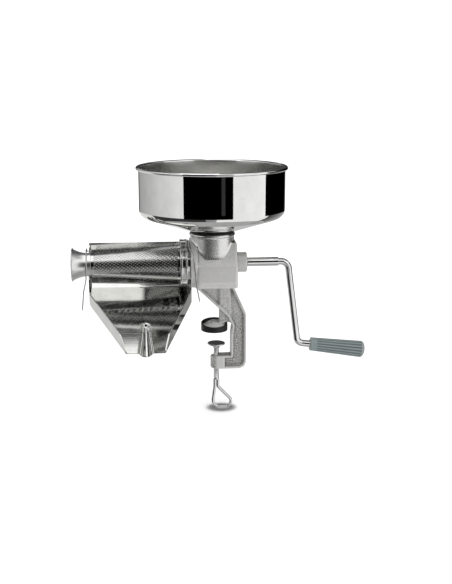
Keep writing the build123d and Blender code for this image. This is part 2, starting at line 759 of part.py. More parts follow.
def tray_block(inset, rise):
    """Solid inside the tray's outer faces, drawn in by inset and open above by rise."""
    lift = inset / math.cos(slope)
    back = tray_back - inset
    front = tray_front - rise
    top = tray_back_height + rise
    left = tray_left + inset
    right = tray_right - inset
    taper_end = -tray_taper_start - (tray_reach - tray_taper_start + rise)
    taper_share = (-taper_end - tray_taper_start) / (tray_reach - tray_taper_start)
    left_in = (lip_x - lip_width / 2 - tray_left) * taper_share
    right_in = (tray_right - lip_x - lip_width / 2) * taper_share
    with BuildPart() as block:
        with BuildSketch(shaft_plane.offset(left)):
            with BuildLine():
                FilletPolyline(
                    (front, floor_z(front) + lift), (back, floor_z(back) + lift), (back, top),
                    radius=tray_back_bend_r - inset,
                )
                Polyline((back, top), (front, top), (front, floor_z(front) + lift))
            make_face()
        extrude(amount=right - left)
        with BuildSketch(Plane.XY.offset(-cut_length / 2)):
            with BuildLine():
                Polyline(
                    (left, tray_back), (left, -tray_taper_start), (left + left_in, taper_end),
                    (right - right_in, taper_end), (right, -tray_taper_start),
                    (right, tray_back), close=True,
                )
            make_face()
        extrude(amount=cut_length, mode=Mode.INTERSECT)
    return block.part


def channel_cone(inset):
    """Tapered round groove pressed into the floor, widening towards the lip and past it."""
    run = (tray_reach - channel_start) / math.cos(slope)
    stretch = 1 + channel_end_r / run
    end_r = channel_start_r + (channel_end_r - channel_start_r) * stretch
    start = Vector(lip_x, -channel_start, z_shaft + floor_z(-channel_start) + tray_sheet)
    axis_plane = Plane(origin=start, x_dir=(1, 0, 0),
                       z_dir=(0, -math.cos(slope), -math.sin(slope)))
    with BuildPart() as groove:
        with BuildSketch(axis_plane):
            Circle(channel_start_r - inset)
        with BuildSketch(axis_plane.offset(run * stretch)):
            with Locations((0, channel_sink * stretch)):
                Circle(end_r - inset)
        loft()
        with Locations(start):
            Sphere(channel_start_r - inset)
    return groove.part


wall_top = floor_z(-tray_taper_start) + side_wall
ease_start = tray_front + lip_ease
guard_end = tray_back - guard_land
nozzle_pivot = around_shaft(outlet_neck_r + nozzle_pivot_out, nozzle_pivot_angle)
collar_pivot = around_shaft(flange_r + collar_pivot_out, collar_pivot_angle)
with BuildPart() as juice_tray:
    add(tray_block(0, 0))
    add(channel_cone(0))
    add(tray_block(tray_sheet, tray_sheet), mode=Mode.SUBTRACT)
    add(channel_cone(tray_sheet), mode=Mode.SUBTRACT)
    split(bisect_by=front_plane, keep=Keep.BOTTOM)
    # Trim the side and end walls to their top edge, leaving the back wall whole
    with BuildSketch(shaft_plane.offset(tray_left - tray_sheet)):
        with BuildLine():
            Polyline(
                (guard_end, tray_back_height + tray_sheet),
                (guard_end, tray_back_height),
                (guard_end - guard_step[0], tray_back_height - guard_step[1]),
                guard_shoulder,
                (-cradle_lip[0], -cone_small_r - cradle_lip[1]),
                (-tray_taper_start, wall_top),
                (ease_start, floor_z(ease_start) + side_wall),
                (tray_front - tray_sheet, floor_z(tray_front) + 2 * tray_sheet),
                (tray_front - tray_sheet, tray_back_height + tray_sheet), close=True,
            )
        make_face()
    extrude(amount=tray_width + 2 * tray_sheet, mode=Mode.SUBTRACT)
    # Cradles for the outlet's neck and for the body's flange
    with BuildSketch(shaft_plane.offset(tray_left - tray_sheet)):
        Circle(outlet_neck_r + loose_fit)
    extrude(amount=3 * tray_sheet, mode=Mode.SUBTRACT)
    with BuildSketch(shaft_plane.offset(tray_right - 2 * tray_sheet)):
        Circle(flange_r + loose_fit)
    extrude(amount=3 * tray_sheet, mode=Mode.SUBTRACT)
    # Holes for the hooked ends of the two wire clips
    for wall_x, pivot in ((tray_left, nozzle_pivot), (tray_right, collar_pivot)):
        with BuildSketch(shaft_plane.offset(wall_x - 2 * tray_sheet)):
            with Locations(pivot):
                Circle(clip_wire_r + running_fit)
        extrude(amount=4 * tray_sheet, mode=Mode.SUBTRACT)
finish(juice_tray, "juice_tray")

# ---------------------------------------------------------------- wire clips
# Each clip is one bent wire. It turns on a hooked end that goes through the tray's
# end wall, arches over the filter and hangs down in front as a finger tail. A route's
# points are X, then depth and height from the shaft's axis.
nozzle_clip_x = tray_left - clip_plane_gap - clip_wire_r
arch_r = outlet_neck_r + loose_fit + clip_wire_r
arch_x = (nozzle_clip_x,) * 3 + (nozzle_clip_x - nozzle_tail_out[0],)
nozzle_route = [
    (tray_left + tray_sheet + clip_hook, *nozzle_pivot),
    (nozzle_clip_x - clip_knuckle, *nozzle_pivot),
]
for x, rise, angle in zip(arch_x, nozzle_arch_rise, nozzle_arch_angle):
    nozzle_route.append((x, *around_shaft(arch_r + rise, angle)))
for out, rise, angle in zip(nozzle_tail_out[1:], nozzle_tail_rise, nozzle_tail_angle):
    nozzle_route.append((nozzle_clip_x - out, *around_shaft(arch_r + rise, angle)))

collar_clip_x = flange_front - collar_gap / 2
flange_side_r = flange_r + loose_fit + clip_wire_r
collar_arch_r = (collar_r - collar_arch_in[0], collar_r - collar_arch_in[1], flange_side_r)
collar_route = [(tray_right + clip_hook, *collar_pivot), (collar_clip_x, *collar_pivot)]
for radius, angle in zip(collar_arch_r, collar_arch_angle):
    collar_route.append((collar_clip_x, *around_shaft(radius, angle)))
for along, rise, angle in zip(collar_tail_along, collar_tail_rise, collar_tail_angle):
    collar_route.append((flange_front + along, *around_shaft(flange_side_r + rise, angle)))

for name, route, bends in (("nozzle_clip", nozzle_route, nozzle_bends),
                           ("collar_clip", collar_route, collar_bends)):
    with BuildPart() as wire_clip:
        with BuildLine() as wire:
            FilletPolyline(*[(x, y, z_shaft + z) for x, y, z in route], radius=bends)
        with BuildSketch(Plane(origin=wire.line @ 0, z_dir=wire.line % 0)):
            Circle(clip_wire_r)
        sweep(path=wire.line)
    finish(wire_clip, name)
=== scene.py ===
"""Dresses the hand-cranked tomato strainer.

It has a polished hopper, a cast body, a screen with its tray, an auger, a crank and
a table clamp. Sizes are in millimetres in the classes and become metres when a mesh
is made. The frame is the model's own: +X along the crank shaft, +Z up, the tray
opens to -Y.
"""

import enum
import logging
import math
from collections.abc import Callable, Sequence
from dataclasses import dataclass, field

import bmesh
import bpy
import numpy as np
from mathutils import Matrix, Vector


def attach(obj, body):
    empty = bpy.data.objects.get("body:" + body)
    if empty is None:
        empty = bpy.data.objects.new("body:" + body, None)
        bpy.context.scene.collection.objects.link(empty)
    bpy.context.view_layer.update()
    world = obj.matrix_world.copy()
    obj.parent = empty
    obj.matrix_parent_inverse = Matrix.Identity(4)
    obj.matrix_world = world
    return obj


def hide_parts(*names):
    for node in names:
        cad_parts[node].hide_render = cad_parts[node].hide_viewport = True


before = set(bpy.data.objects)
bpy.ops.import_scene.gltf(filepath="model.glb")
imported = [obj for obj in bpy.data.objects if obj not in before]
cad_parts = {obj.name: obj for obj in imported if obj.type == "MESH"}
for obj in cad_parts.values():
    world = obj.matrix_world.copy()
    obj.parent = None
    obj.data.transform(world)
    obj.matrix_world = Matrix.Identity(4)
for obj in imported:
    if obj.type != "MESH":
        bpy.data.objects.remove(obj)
LOG = logging.getLogger("strainer")
MM = 0.001
SHAFT_Z = 102.0
NECK_X = -5.5
TAU = 2.0 * math.pi
Points = np.ndarray


# ---------------------------------------------------------------- shader maths
class Sock:
    """A value or colour on its way through a node tree; arithmetic adds Math nodes."""

    def __init__(self, tree: "Tree", socket: bpy.types.NodeSocket) -> None:
        """Wrap an output socket of the tree."""
        self.tree = tree
        self.socket = socket

    def _math(self, operation: str, first: object, second: object = None) -> "Sock":
        """Add one Math node.

        Args:
            operation: the node's operation.
            first: left value, a Sock or a number.
            second: right value where the operation has one.

        Returns:
            The node's result.
        """
        values = [first] if second is None else [first, second]
        node = self.tree.node("ShaderNodeMath", {"operation": operation},
                              dict(enumerate(values)))
        return Sock(self.tree, node.outputs[0])

    def __add__(self, other: object) -> "Sock":
        """Sum."""
        return self._math("ADD", self, other)

    def __sub__(self, other: object) -> "Sock":
        """Difference."""
        return self._math("SUBTRACT", self, other)

    def __rsub__(self, other: object) -> "Sock":
        """Difference with the socket on the right."""
        return self._math("SUBTRACT", other, self)

    def __mul__(self, other: object) -> "Sock":
        """Product."""
        return self._math("MULTIPLY", self, other)

    __radd__ = __add__
    __rmul__ = __mul__

    def clamp(self) -> "Sock":
        """The value held between 0 and 1."""
        return self._math("MAXIMUM", self._math("MINIMUM", self, 1.0), 0.0)


class Tree:
    """Node tree of one material."""

    def __init__(self, name: str) -> None:
        """Start an empty material of that name."""
        self.material = bpy.data.materials.new(name)
        self.material.use_nodes = True
        self.nodes = self.material.node_tree.nodes
        self.nodes.clear()

    def node(self, kind: str, settings: dict | None = None,
             sockets: dict | None = None) -> bpy.types.Node:
        """Add a node.

        Args:
            kind: the node's type.
            settings: attributes, set before the sockets.
            sockets: values or links by socket name or index.

        Returns:
            The new node.
        """
        made = self.nodes.new(kind)
        for key, value in (settings or {}).items():
            setattr(made, key, value)
        for key, value in (sockets or {}).items():
            if isinstance(value, Sock):
                self.material.node_tree.links.new(value.socket, made.inputs[key])
            else:
                made.inputs[key].default_value = value
        return made

    def out(self, node: bpy.types.Node, name: str | int = 0) -> Sock:
        """One output of a node, wrapped."""
        return Sock(self, node.outputs[name])

    def place(self, scale: Sequence[float] = (1.0, 1.0, 1.0)) -> Sock:
        """Object coordinates in metres, stretched by a scale on each axis."""
        spot = self.out(self.node("ShaderNodeTexCoord"), "Object")
        return self.out(self.node("ShaderNodeMapping", {}, {"Vector": spot,
                                                            "Scale": tuple(scale)}))

    def noise(self, spot: Sock, scale: float, detail: float = 3.0,
              rough: float = 0.5) -> Sock:
        """Noise about 0.5 over the given place, with scale in waves per metre."""
        made = self.node("ShaderNodeTexNoise", {"noise_dimensions": "3D"},
                         {"Vector": spot, "Scale": scale, "Detail": detail,
                          "Roughness": rough})
        return self.out(made, "Fac")

    def attribute(self, name: str) -> Sock:
        """A value kept on the piece's own vertices."""
        return self.out(self.node("ShaderNodeAttribute", {"attribute_name": name}), "Fac")

    def mix(self, share: object, first: object, second: object) -> Sock:
        """Blend two colours by a share from 0 to 1."""
        made = self.node("ShaderNodeMix", {"data_type": "RGBA"})
        for socket, value in (("Factor_Float", share), ("A_Color", first),
                              ("B_Color", second)):
            target = next(s for s in made.inputs if s.identifier == socket)
            if isinstance(value, Sock):
                self.material.node_tree.links.new(value.socket, target)
            else:
                target.default_value = value
        return Sock(self, next(s for s in made.outputs if s.identifier == "Result_Color"))

    def close(self, depth: float, height: Sock, **sockets: object) -> bpy.types.Material:
        """Add the bump, the surface shader and the output.

        Args:
            depth: real depth in metres of a height of 1.
            height: height over the surface.
            sockets: inputs of the surface shader, with _ for a space.

        Returns:
            The finished material.
        """
        bump = self.node("ShaderNodeBump", {}, {"Distance": depth, "Strength": 1.0,
                                                "Height": height})
        named = {key.replace("_", " "): value for key, value in sockets.items()}
        shader = self.node("ShaderNodeBsdfPrincipled", {},
                           {**named, "Normal": self.out(bump)})
        self.node("ShaderNodeOutputMaterial", {}, {"Surface": self.out(shader)})
        return self.material


def rgba(colour: Sequence[float]) -> tuple[float, float, float, float]:
    """Three colour parts with full opacity."""
    return (colour[0], colour[1], colour[2], 1.0)


class Marks(enum.Enum):
    """Which way a metal's fine working marks run, as noise scales on X, Y and Z."""

    TURNED_X = (900.0, 22.0, 22.0)
    TURNED_Z = (22.0, 22.0, 900.0)
    DRAWN_X = (14.0, 620.0, 620.0)
    NONE = (260.0, 260.0, 260.0)


@dataclass(frozen=True)
class Metal:
    """A worked metal: base colour, gloss, smudges, working marks and slight waviness."""

    name: str
    colour: tuple[float, float, float]
    roughness: float
    marks: Marks = Marks.NONE
    mark_gloss: float = 0.05
    mark_depth: float = 0.000004
    smudge: float = 0.04
    wave: float = 0.0
    wave_scale: float = 14.0

    def material(self) -> bpy.types.Material:
        """Build it."""
        tree = Tree(self.name)
        grain = tree.noise(tree.place(self.marks.value), 1.0, 4.0, 0.62)
        smudge = tree.noise(tree.place(), 46.0, 5.0, 0.6)
        wave = tree.noise(tree.place(), self.wave_scale, 1.0, 0.4)
        gloss = (self.roughness + (grain - 0.5) * self.mark_gloss
                 + (smudge - 0.5) * self.smudge).clamp()
        dark = tuple(0.86 * part for part in self.colour)
        tint = tree.mix(((smudge - 0.35) * 2.0).clamp(), rgba(dark), rgba(self.colour))
        return tree.close(self.mark_depth, grain + wave * (self.wave / self.mark_depth),
                          Base_Color=tint, Metallic=1.0, Roughness=gloss)


@dataclass(frozen=True)
class SandCast:
    """Cast alloy: sandy skin, painted shade in hollows and on the sunk panels, edges rubbed
    brighter, neck and ends machined.
    """

    name: str
    skin: tuple[float, float, float] = (0.74, 0.735, 0.72)
    # hollow is the colour of the painted shade in hollows and on the sunk panels
    hollow: tuple[float, float, float] = (0.17, 0.168, 0.16)
    worked: tuple[float, float, float] = (0.80, 0.795, 0.78)
    sand_depth: float = 0.00055

    def material(self) -> bpy.types.Material:
        """Build it from 'worked', 'open', 'edge' and 'panel', kept on the vertices."""
        tree = Tree(self.name)
        worked, panel_pits_and_shade = tree.attribute("worked"), tree.attribute("panel_pits_and_shade")
        # Painted shade: where little free room lies in front of a point, the skin turns
        # towards the hollow colour
        hollow = (1.0 - tree.attribute("open")).clamp()
        edge = tree.attribute("edge")
        coarse = tree.noise(tree.place(), 520.0, 4.0, 0.66)
        fine = tree.noise(tree.place(), 1500.0, 2.0, 0.6)
        cloud = tree.noise(tree.place(), 34.0, 3.0, 0.55)
        rough = 1.0 - worked * 0.82
        sand = (coarse * 0.7 + fine * 0.3) * rough
        shade = tuple(0.82 * part for part in self.skin)
        body = tree.mix(((cloud - 0.3) * 1.5).clamp(), rgba(shade), rgba(self.skin))
        pits = ((0.52 - coarse) * 3.2 + (0.5 - fine) * 1.2) * rough * (0.42 + panel_pits_and_shade)
        # Painted shade in hollows and on the sunk panels, with the sand pits, darkens the skin
        # here
        body = tree.mix((hollow * 1.2 + panel_pits_and_shade * 0.42 + pits).clamp(), body, rgba(self.hollow))
        body = tree.mix((worked + edge * 0.75).clamp(), body, rgba(self.worked))
        gloss = (0.46 - worked * 0.20 - edge * 0.12 + (coarse - 0.5) * 0.3).clamp()
        metal = (0.50 + worked * 0.42 + edge * 0.2).clamp()
        return tree.close(self.sand_depth, sand, Base_Color=body, Metallic=metal,
                          Roughness=gloss)


@dataclass(frozen=True)
class Moulded:
    """Plastic or rubber: colour with slight clouding, soft gloss, fine moulded skin, and
    painted shade in the grooves where a groove colour is given.
    """

    name: str
    colour: tuple[float, float, float]
    shade: tuple[float, float, float]
    roughness: float
    skin_scale: float = 1300.0
    skin_depth: float = 0.00003
    specular: float = 0.5
    # groove is the colour of the painted shade in a grip's flutes
    groove: tuple[float, float, float] | None = None

    def material(self) -> bpy.types.Material:
        """Build it."""
        tree = Tree(self.name)
        cloud = tree.noise(tree.place(), 55.0, 4.0, 0.6)
        skin = tree.noise(tree.place(), self.skin_scale, 3.0, 0.6)
        tint = tree.mix(((cloud - 0.3) * 1.6).clamp(), rgba(self.shade), rgba(self.colour))
        # Painted shade: the flutes darken towards the groove colour
        if self.groove:
            tint = tree.mix(tree.attribute("groove").clamp(), tint, rgba(self.groove))
        gloss = (self.roughness + (skin - 0.5) * 0.12 + (cloud - 0.5) * 0.10).clamp()
        return tree.close(self.skin_depth, skin, Base_Color=tint, Roughness=gloss,
                          Specular_IOR_Level=self.specular)


MIRROR = Metal("hopper_mirror", (0.90, 0.905, 0.89), 0.035, Marks.TURNED_Z, 0.02,
               0.0000006, 0.02, 0.00008, 9.0)
SATIN = Metal("hopper_inside", (0.90, 0.90, 0.88), 0.20, Marks.TURNED_Z, 0.10, 0.000004, 0.06)
SHEET = Metal("tray_sheet", (0.74, 0.745, 0.72), 0.085, Marks.DRAWN_X, 0.12,
              0.000008, 0.05, 0.00010, 18.0)
SCREEN = Metal("screen_steel", (0.78, 0.78, 0.77), 0.15, Marks.NONE, 0.08, 0.000006, 0.06)
TURNED = Metal("turned_alloy", (0.88, 0.88, 0.865), 0.20, Marks.TURNED_X, 0.12,
               0.000008, 0.05)
PRESSED = Metal("outlet_alloy", (0.90, 0.90, 0.89), 0.30, Marks.TURNED_X, 0.08,
                0.000004, 0.05, 0.00003, 30.0)
CHROME = Metal("chrome", (0.90, 0.905, 0.90), 0.045, Marks.NONE, 0.02, 0.000001, 0.03)
BARE = Metal("bare_steel", (0.62, 0.615, 0.60), 0.26, Marks.TURNED_X, 0.10, 0.000005, 0.08)
WIRE = Metal("bright_wire", (0.72, 0.715, 0.70), 0.16, Marks.NONE, 0.08, 0.000004, 0.06)
BRONZE = Metal("bush_bronze", (0.62, 0.40, 0.20), 0.30, Marks.TURNED_X, 0.12, 0.000006, 0.12)
CAST = SandCast("cast_alloy")
NYLON = Moulded("auger_plastic", (0.62, 0.61, 0.57), (0.52, 0.51, 0.47), 0.38)
# The grip's groove colour is painted shade in its flutes
GRIP = Moulded("grip_plastic", (0.215, 0.252, 0.250), (0.165, 0.200, 0.199), 0.34,
               groove=(0.050, 0.062, 0.062))
DOME = Moulded("grip_end_plastic", (0.275, 0.295, 0.290), (0.220, 0.240, 0.236), 0.32)
RUBBER = Moulded("boot_rubber", (0.014, 0.016, 0.014), (0.007, 0.008, 0.007), 0.46, 900.0,
                 0.00006, 0.35)
Finish = Metal | SandCast | Moulded
_built: dict[str, bpy.types.Material] = {}


def dressed(finish: Finish) -> bpy.types.Material:
    """The finish's material, built once."""
    if finish.name not in _built:
        _built[finish.name] = finish.material()
    return _built[finish.name]


# ---------------------------------------------------------------- shapes
@dataclass
class Shell:
    """One closed surface: points in millimetres, four-cornered faces and a finish number."""

    points: Points
    faces: Points
    finish: int = 0


def grid_faces(rows: int, columns: int, round_rows: bool = False,
               round_columns: bool = False) -> Points:
    """Faces of a grid of points, joined round where asked.

    Each face takes the points (r, c), (r, c+1), (r+1, c+1), (r+1, c).

    Args:
        rows: points along the first parameter.
        columns: points along the second.
        round_rows: the last row joins the first.
        round_columns: the last column joins the first.

    Returns:
        Point numbers, four a face.
    """
    r = np.arange(rows if round_rows else rows - 1)[:, None]
    c = np.arange(columns if round_columns else columns - 1)[None, :]
    near, far = r * columns, ((r + 1) % rows) * columns
    side = (c + 1) % columns
    quads = np.stack(np.broadcast_arrays(near + c, near + side, far + side, far + c), -1)
    return quads.reshape(-1, 4)


def bent(corners: Sequence[Sequence[float]], radii: Sequence[float] | float,
         step: float = 8.0, closed: bool = False) -> Points:
    """Line with its corners rounded by arcs.

    At a corner with turning angle a and radius r the arc starts r tan(a/2) before
    the corner and its points are the centre plus r (cos t, sin t) in the corner's plane.

    Args:
        corners: the line's corners, in the plane or in space.
        radii: one radius for all corners, or one a corner without the two ends.
        step: degrees between the arc's points.
        closed: the last corner joins the first.

    Returns:
        Points along the rounded line.
    """
    pts = np.asarray(corners, float)
    count = len(pts)
    inner = range(count) if closed else range(1, count - 1)
    sizes = np.full(len(inner), float(radii)) if np.isscalar(radii) else np.asarray(radii)
    parts = [] if closed else [pts[:1]]
    for size, i in zip(sizes, inner):
        before, here, after = pts[i - 1], pts[i], pts[(i + 1) % count]
        a = (before - here) / np.linalg.norm(before - here)
        b = (after - here) / np.linalg.norm(after - here)
        turn = math.pi - math.acos(float(np.clip(a @ b, -1.0, 1.0)))
        if turn < 1e-3 or size <= 0:
            parts.append(here[None])
            continue
        reach = min(size * math.tan(turn / 2), 0.499 * np.linalg.norm(before - here),
                    0.499 * np.linalg.norm(after - here))
        radius = reach / math.tan(turn / 2)
        middle = (a + b) / np.linalg.norm(a + b)
        centre = here + middle * radius / math.cos(turn / 2)
        start, end = here + a * reach - centre, here + b * reach - centre
        t = np.linspace(0.0, 1.0, max(3, int(math.degrees(turn) / step) + 2))[:, None]
        parts.append(centre + (np.sin((1 - t) * turn) * start + np.sin(t * turn) * end)
                     / math.sin(turn))
    if not closed:
        parts.append(pts[-1:])
    line = np.concatenate(parts)
    keep = np.linalg.norm(np.diff(line, axis=0), axis=1) > 1e-6
    return line[np.concatenate([[True], keep])]


def even(line: Points, step: float) -> Points:
    """The line's points, with more put in where two lie further apart than step."""
    runs = np.linalg.norm(np.diff(line, axis=0), axis=1)
    parts = [a + (b - a) * np.linspace(0, 1, max(1, math.ceil(run / step)),
                                       endpoint=False)[:, None]
             for a, b, run in zip(line[:-1], line[1:], runs)]
    return np.concatenate([*parts, line[-1:]])


class Axis(enum.Enum):
    """Axes of the round pieces: origin, direction and the side that angle 0 is on."""

    SHAFT = ((0.0, 0.0, SHAFT_Z), (1.0, 0.0, 0.0), (0.0, 1.0, 0.0))
    NECK = ((NECK_X, 0.0, 0.0), (0.0, 0.0, 1.0), (1.0, 0.0, 0.0))
    SCREW = ((0.0, 0.0, 0.0), (0.0, 0.0, 1.0), (1.0, 0.0, 0.0))
    GRIP = ((121.9463, 0.0, -22.9222), (math.cos(math.radians(7.5)), 0.0,
                                        -math.sin(math.radians(7.5))), (0.0, 1.0, 0.0))
    PIN = ((14.5, 0.0, SHAFT_Z), (0.0, 1.0, 0.0), (1.0, 0.0, 0.0))

    def put(self, along: Points, radius: Points, angle: Points) -> Points:
        """Points at a distance along the axis, a radius and an angle about it.

        Each is origin + along*d + radius*(cos angle * s + sin angle * (d x s)).
        """
        origin, way, side = (np.array(v) for v in self.value)
        across = np.cross(way, side)
        spread = (np.cos(angle)[..., None] * side + np.sin(angle)[..., None] * across)
        return origin + along[..., None] * way + radius[..., None] * spread


def turned(profile: Points, axis: Axis, around: int = 96, finish: int = 0,
           closed: bool = True,
           shape: Callable[[Points, Points, Points], tuple[Points, Points]] | None = None
           ) -> Shell:
    """Surface of revolution: point (i, j) is profile point i turned by 2 pi j / around.

    Args:
        profile: columns are the distance along the axis and the radius.
        axis: what it turns about.
        around: points in a full turn.
        finish: number of the piece's finish.
        closed: the profile's last point joins its first.
        shape: changes along and radius by along, radius and angle.

    Returns:
        The surface.
    """
    angle = np.broadcast_to(np.arange(around) * TAU / around, (len(profile), around))
    along = np.broadcast_to(profile[:, :1], angle.shape)
    radius = np.broadcast_to(profile[:, 1:2], angle.shape)
    if shape:
        along, radius = shape(along, radius, angle)
    points = axis.put(along, radius, angle)
    return Shell(points.reshape(-1, 3), grid_faces(len(profile), around, closed, True), finish)


def drawn(line: Points, radius: float | Points, sides: int = 24, finish: int = 0) -> Shell:
    """Round wire or rod along a line, with rounded ends.

    The section's frame is carried from point to point by the turn that takes one
    direction to the next, so that it doesn't twist. Point (i, j) is line point i
    plus radius i times (cos, sin) of 2 pi j / sides in that frame.

    Args:
        line: points of the centre line.
        radius: the wire's radius, or one a point.
        sides: points round the section.
        finish: number of the piece's finish.

    Returns:
        The surface, closed at both ends.
    """
    size = np.broadcast_to(np.asarray(radius, float), (len(line),))
    way = np.gradient(line, axis=0)
    way /= np.linalg.norm(way, axis=1)[:, None]
    side = np.cross(way[0], (0.0, 1.0, 0.0) if abs(way[0][1]) < 0.9 else (1.0, 0.0, 0.0))
    sides_at = [side / np.linalg.norm(side)]
    for there in way[1:]:
        across = sides_at[-1] - there * (sides_at[-1] @ there)
        sides_at.append(across / np.linalg.norm(across))
    side = np.array(sides_at)
    cross = np.cross(way, side)
    round_off = np.radians([90.0, 60.0, 30.0])
    ease = min(0.35 * float(size.min()), 1.2)
    heads = line[0] + way[0] * ease * (1 - np.sin(round_off))[:, None]
    tails = line[-1] - way[-1] * ease * (1 - np.sin(round_off[::-1]))[:, None]
    head_r = size[0] - ease * (1 - np.cos(round_off))
    tail_r = size[-1] - ease * (1 - np.cos(round_off[::-1]))
    away = np.linalg.norm(line - line[0], axis=1) > 1.5 * ease
    away &= np.linalg.norm(line - line[-1], axis=1) > 1.5 * ease
    spine = np.concatenate([line[:1], heads, line[away], tails, line[-1:]])
    wide = np.concatenate([[0.0], head_r, size[away], tail_r, [0.0]])
    sides_all = np.concatenate([np.repeat(side[:1], 4, 0), side[away],
                                np.repeat(side[-1:], 4, 0)])
    cross_all = np.concatenate([np.repeat(cross[:1], 4, 0), cross[away],
                                np.repeat(cross[-1:], 4, 0)])
    t = np.arange(sides) * TAU / sides
    ring = (np.cos(t)[None, :, None] * sides_all[:, None]
            + np.sin(t)[None, :, None] * cross_all[:, None])
    points = spine[:, None] + wide[:, None, None] * ring
    return Shell(points.reshape(-1, 3), grid_faces(len(spine), sides, False, True), finish)


def ring(start: float, end: float, inner: float, outer: float
         ) -> list[tuple[float, float]]:
    """Corners of a ring's section, as distance along its axis and radius."""
    return [(start, inner), (end, inner), (end, outer), (start, outer)]


def make_piece(name: str, body: str, shells: Sequence[Shell],
               finishes: Sequence[Finish], nodes: Sequence[str] = (),
               values: dict[str, Points] | None = None, turn: bool = True,
               sharp: float = 38.0) -> bpy.types.Object:
    """Put shells into one mesh, dress it and seat it on its body.

    Args:
        name: the piece's name.
        body: the body it rides on.
        shells: its closed surfaces.
        finishes: its finishes, by the shells' finish numbers.
        nodes: what it replaces in the model.
        values: numbers to keep on the vertices, by name.
        turn: make the faces point outwards.
        sharp: edges that bend more than this many degrees stay sharp.

    Returns:
        The new object.
    """
    starts = np.cumsum([0] + [len(s.points) for s in shells[:-1]])
    points = np.concatenate([s.points for s in shells]) * MM
    faces = np.concatenate([s.faces + at for s, at in zip(shells, starts)])
    kinds = np.concatenate([np.full(len(s.faces), s.finish) for s in shells])
    mesh = bpy.data.meshes.new(name)
    mesh.from_pydata(points, [], faces)
    mesh.polygons.foreach_set("material_index", kinds.astype(np.int32))
    for key, numbers in (values or {}).items():
        kept = mesh.attributes.new(key, "FLOAT", "POINT")
        kept.data.foreach_set("value", numbers.astype(np.float32))
    work = bmesh.new()
    work.from_mesh(mesh)
    bmesh.ops.remove_doubles(work, verts=work.verts, dist=2e-7)
    bmesh.ops.dissolve_degenerate(work, edges=work.edges, dist=1e-7)
    if turn:
        bmesh.ops.recalc_face_normals(work, faces=work.faces)
    work.to_mesh(mesh)
    work.free()
    mesh.polygons.foreach_set("use_smooth", np.ones(len(mesh.polygons), bool))
    mesh.set_sharp_from_angle(angle=math.radians(sharp))
    mesh.update()
    for finish in finishes:
        mesh.materials.append(dressed(finish))
    piece = bpy.data.objects.new(name, mesh)
    bpy.context.scene.collection.objects.link(piece)
    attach(piece, body)
    if nodes:
        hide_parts(*nodes)
    LOG.info("%s: %d faces on %s", name, len(mesh.polygons), body)
    return piece


@dataclass(frozen=True)
class Turning:
    """A piece turned from one section, given as distances along the axis and radii.

    A ring's section is closed. A bar's begins and ends on the axis. Corners are rounded
    by the edge radii in steps of some degrees, and long runs are split by the spacing.
    """

    name: str
    body: str
    slot: str
    finish: Finish
    node: str
    axis: Axis
    corners: list[tuple[float, float]]
    edges: list[float] | float
    around: int
    closed: bool = True
    step: float = 20.0
    spacing: float = 1000.0

    def build(self) -> None:
        """Turn it and seat it on its body."""
        line = even(bent(self.corners, self.edges, self.step, self.closed), self.spacing)
        make_piece(self.name, self.body,
                   [turned(line, self.axis, self.around, closed=self.closed)],
                   [self.finish], [self.node])


# ---------------------------------------------------------------- hopper
@dataclass
class Hopper:
    """Spun bowl with a rolled rim, a shallow cone and a spigot, on a rubber ring."""

    seat_z: float = 148.9
    wall_r: float = 104.5
    corner_z: float = 172.8
    rim_z: float = 242.5
    sheet: float = 1.0
    bead_r: float = 2.4
    spigot_r: float = 28.0
    spigot_end: float = 132.9
    seat_wide: float = 2.6
    corner_r: float = 12.0
    roll_end: float = -128.0
    around: int = 224

    def bowl(self) -> None:
        """Outer and inner skins between rim and spigot, with the rim rolled outwards.

        The skins are rounded lines one sheet apart; the roll is an arc of 330 degrees
        about the bead's centre, and both are turned about the neck's axis.
        """
        seat, throat = self.seat_z, self.spigot_r - self.sheet
        centre_z = self.rim_z - self.bead_r
        centre_r = self.wall_r - self.sheet + self.bead_r
        outer = bent([(self.spigot_end, self.spigot_r), (seat, self.spigot_r),
                      (seat, self.spigot_r + self.seat_wide), (self.corner_z, self.wall_r),
                      (centre_z, self.wall_r)],
                     [0.3, 1.4, self.corner_r], 5.0)
        inner = bent([(self.spigot_end, throat), (seat + 1.1, throat),
                      (seat + 1.6, self.spigot_r + self.seat_wide - 0.3),
                      (self.corner_z + 0.86, self.wall_r - self.sheet),
                      (centre_z, self.wall_r - self.sheet)],
                     [1.2, 2.2, self.corner_r - self.sheet], 5.0)
        sweep = np.radians(np.linspace(180.0, self.roll_end, 34))
        roll = np.stack([centre_z + self.bead_r * np.sin(sweep),
                         centre_r + self.bead_r * np.cos(sweep)], 1)
        back = np.radians(np.linspace(self.roll_end, 172.0, 26))
        under = self.bead_r - 0.9
        fold = np.stack([centre_z + under * np.sin(back),
                         centre_r + under * np.cos(back)], 1)
        outer = even(outer, 7.0)
        inner = even(inner, 7.0)
        rim = np.concatenate([fold[::-1], roll[::-1]])
        inside = turned(np.concatenate([roll[:1], inner[::-1]]), Axis.NECK, self.around, 1,
                        closed=False)
        outside = turned(np.concatenate([inner[:1], outer]), Axis.NECK, self.around, 0,
                         closed=False)
        edge = turned(np.concatenate([outer[-1:], rim]), Axis.NECK, self.around, 0,
                      closed=False)
        make_piece("hopper_bowl_dressed", "hopper",
                   [outside, edge, inside], [MIRROR, SATIN], ["hopper_bowl"])

    def gasket(self) -> None:
        """Rubber ring between the lip of the neck and the bowl, with a rounded edge."""
        Turning("neck_ring", "frame", "black_rubber", RUBBER, "neck_gasket", Axis.NECK,
                ring(146.5, self.seat_z, 28.35, 31.9), 0.9, 128, step=22.0).build()

    def build(self) -> None:
        """Make the bowl and its ring."""
        self.bowl()
        self.gasket()


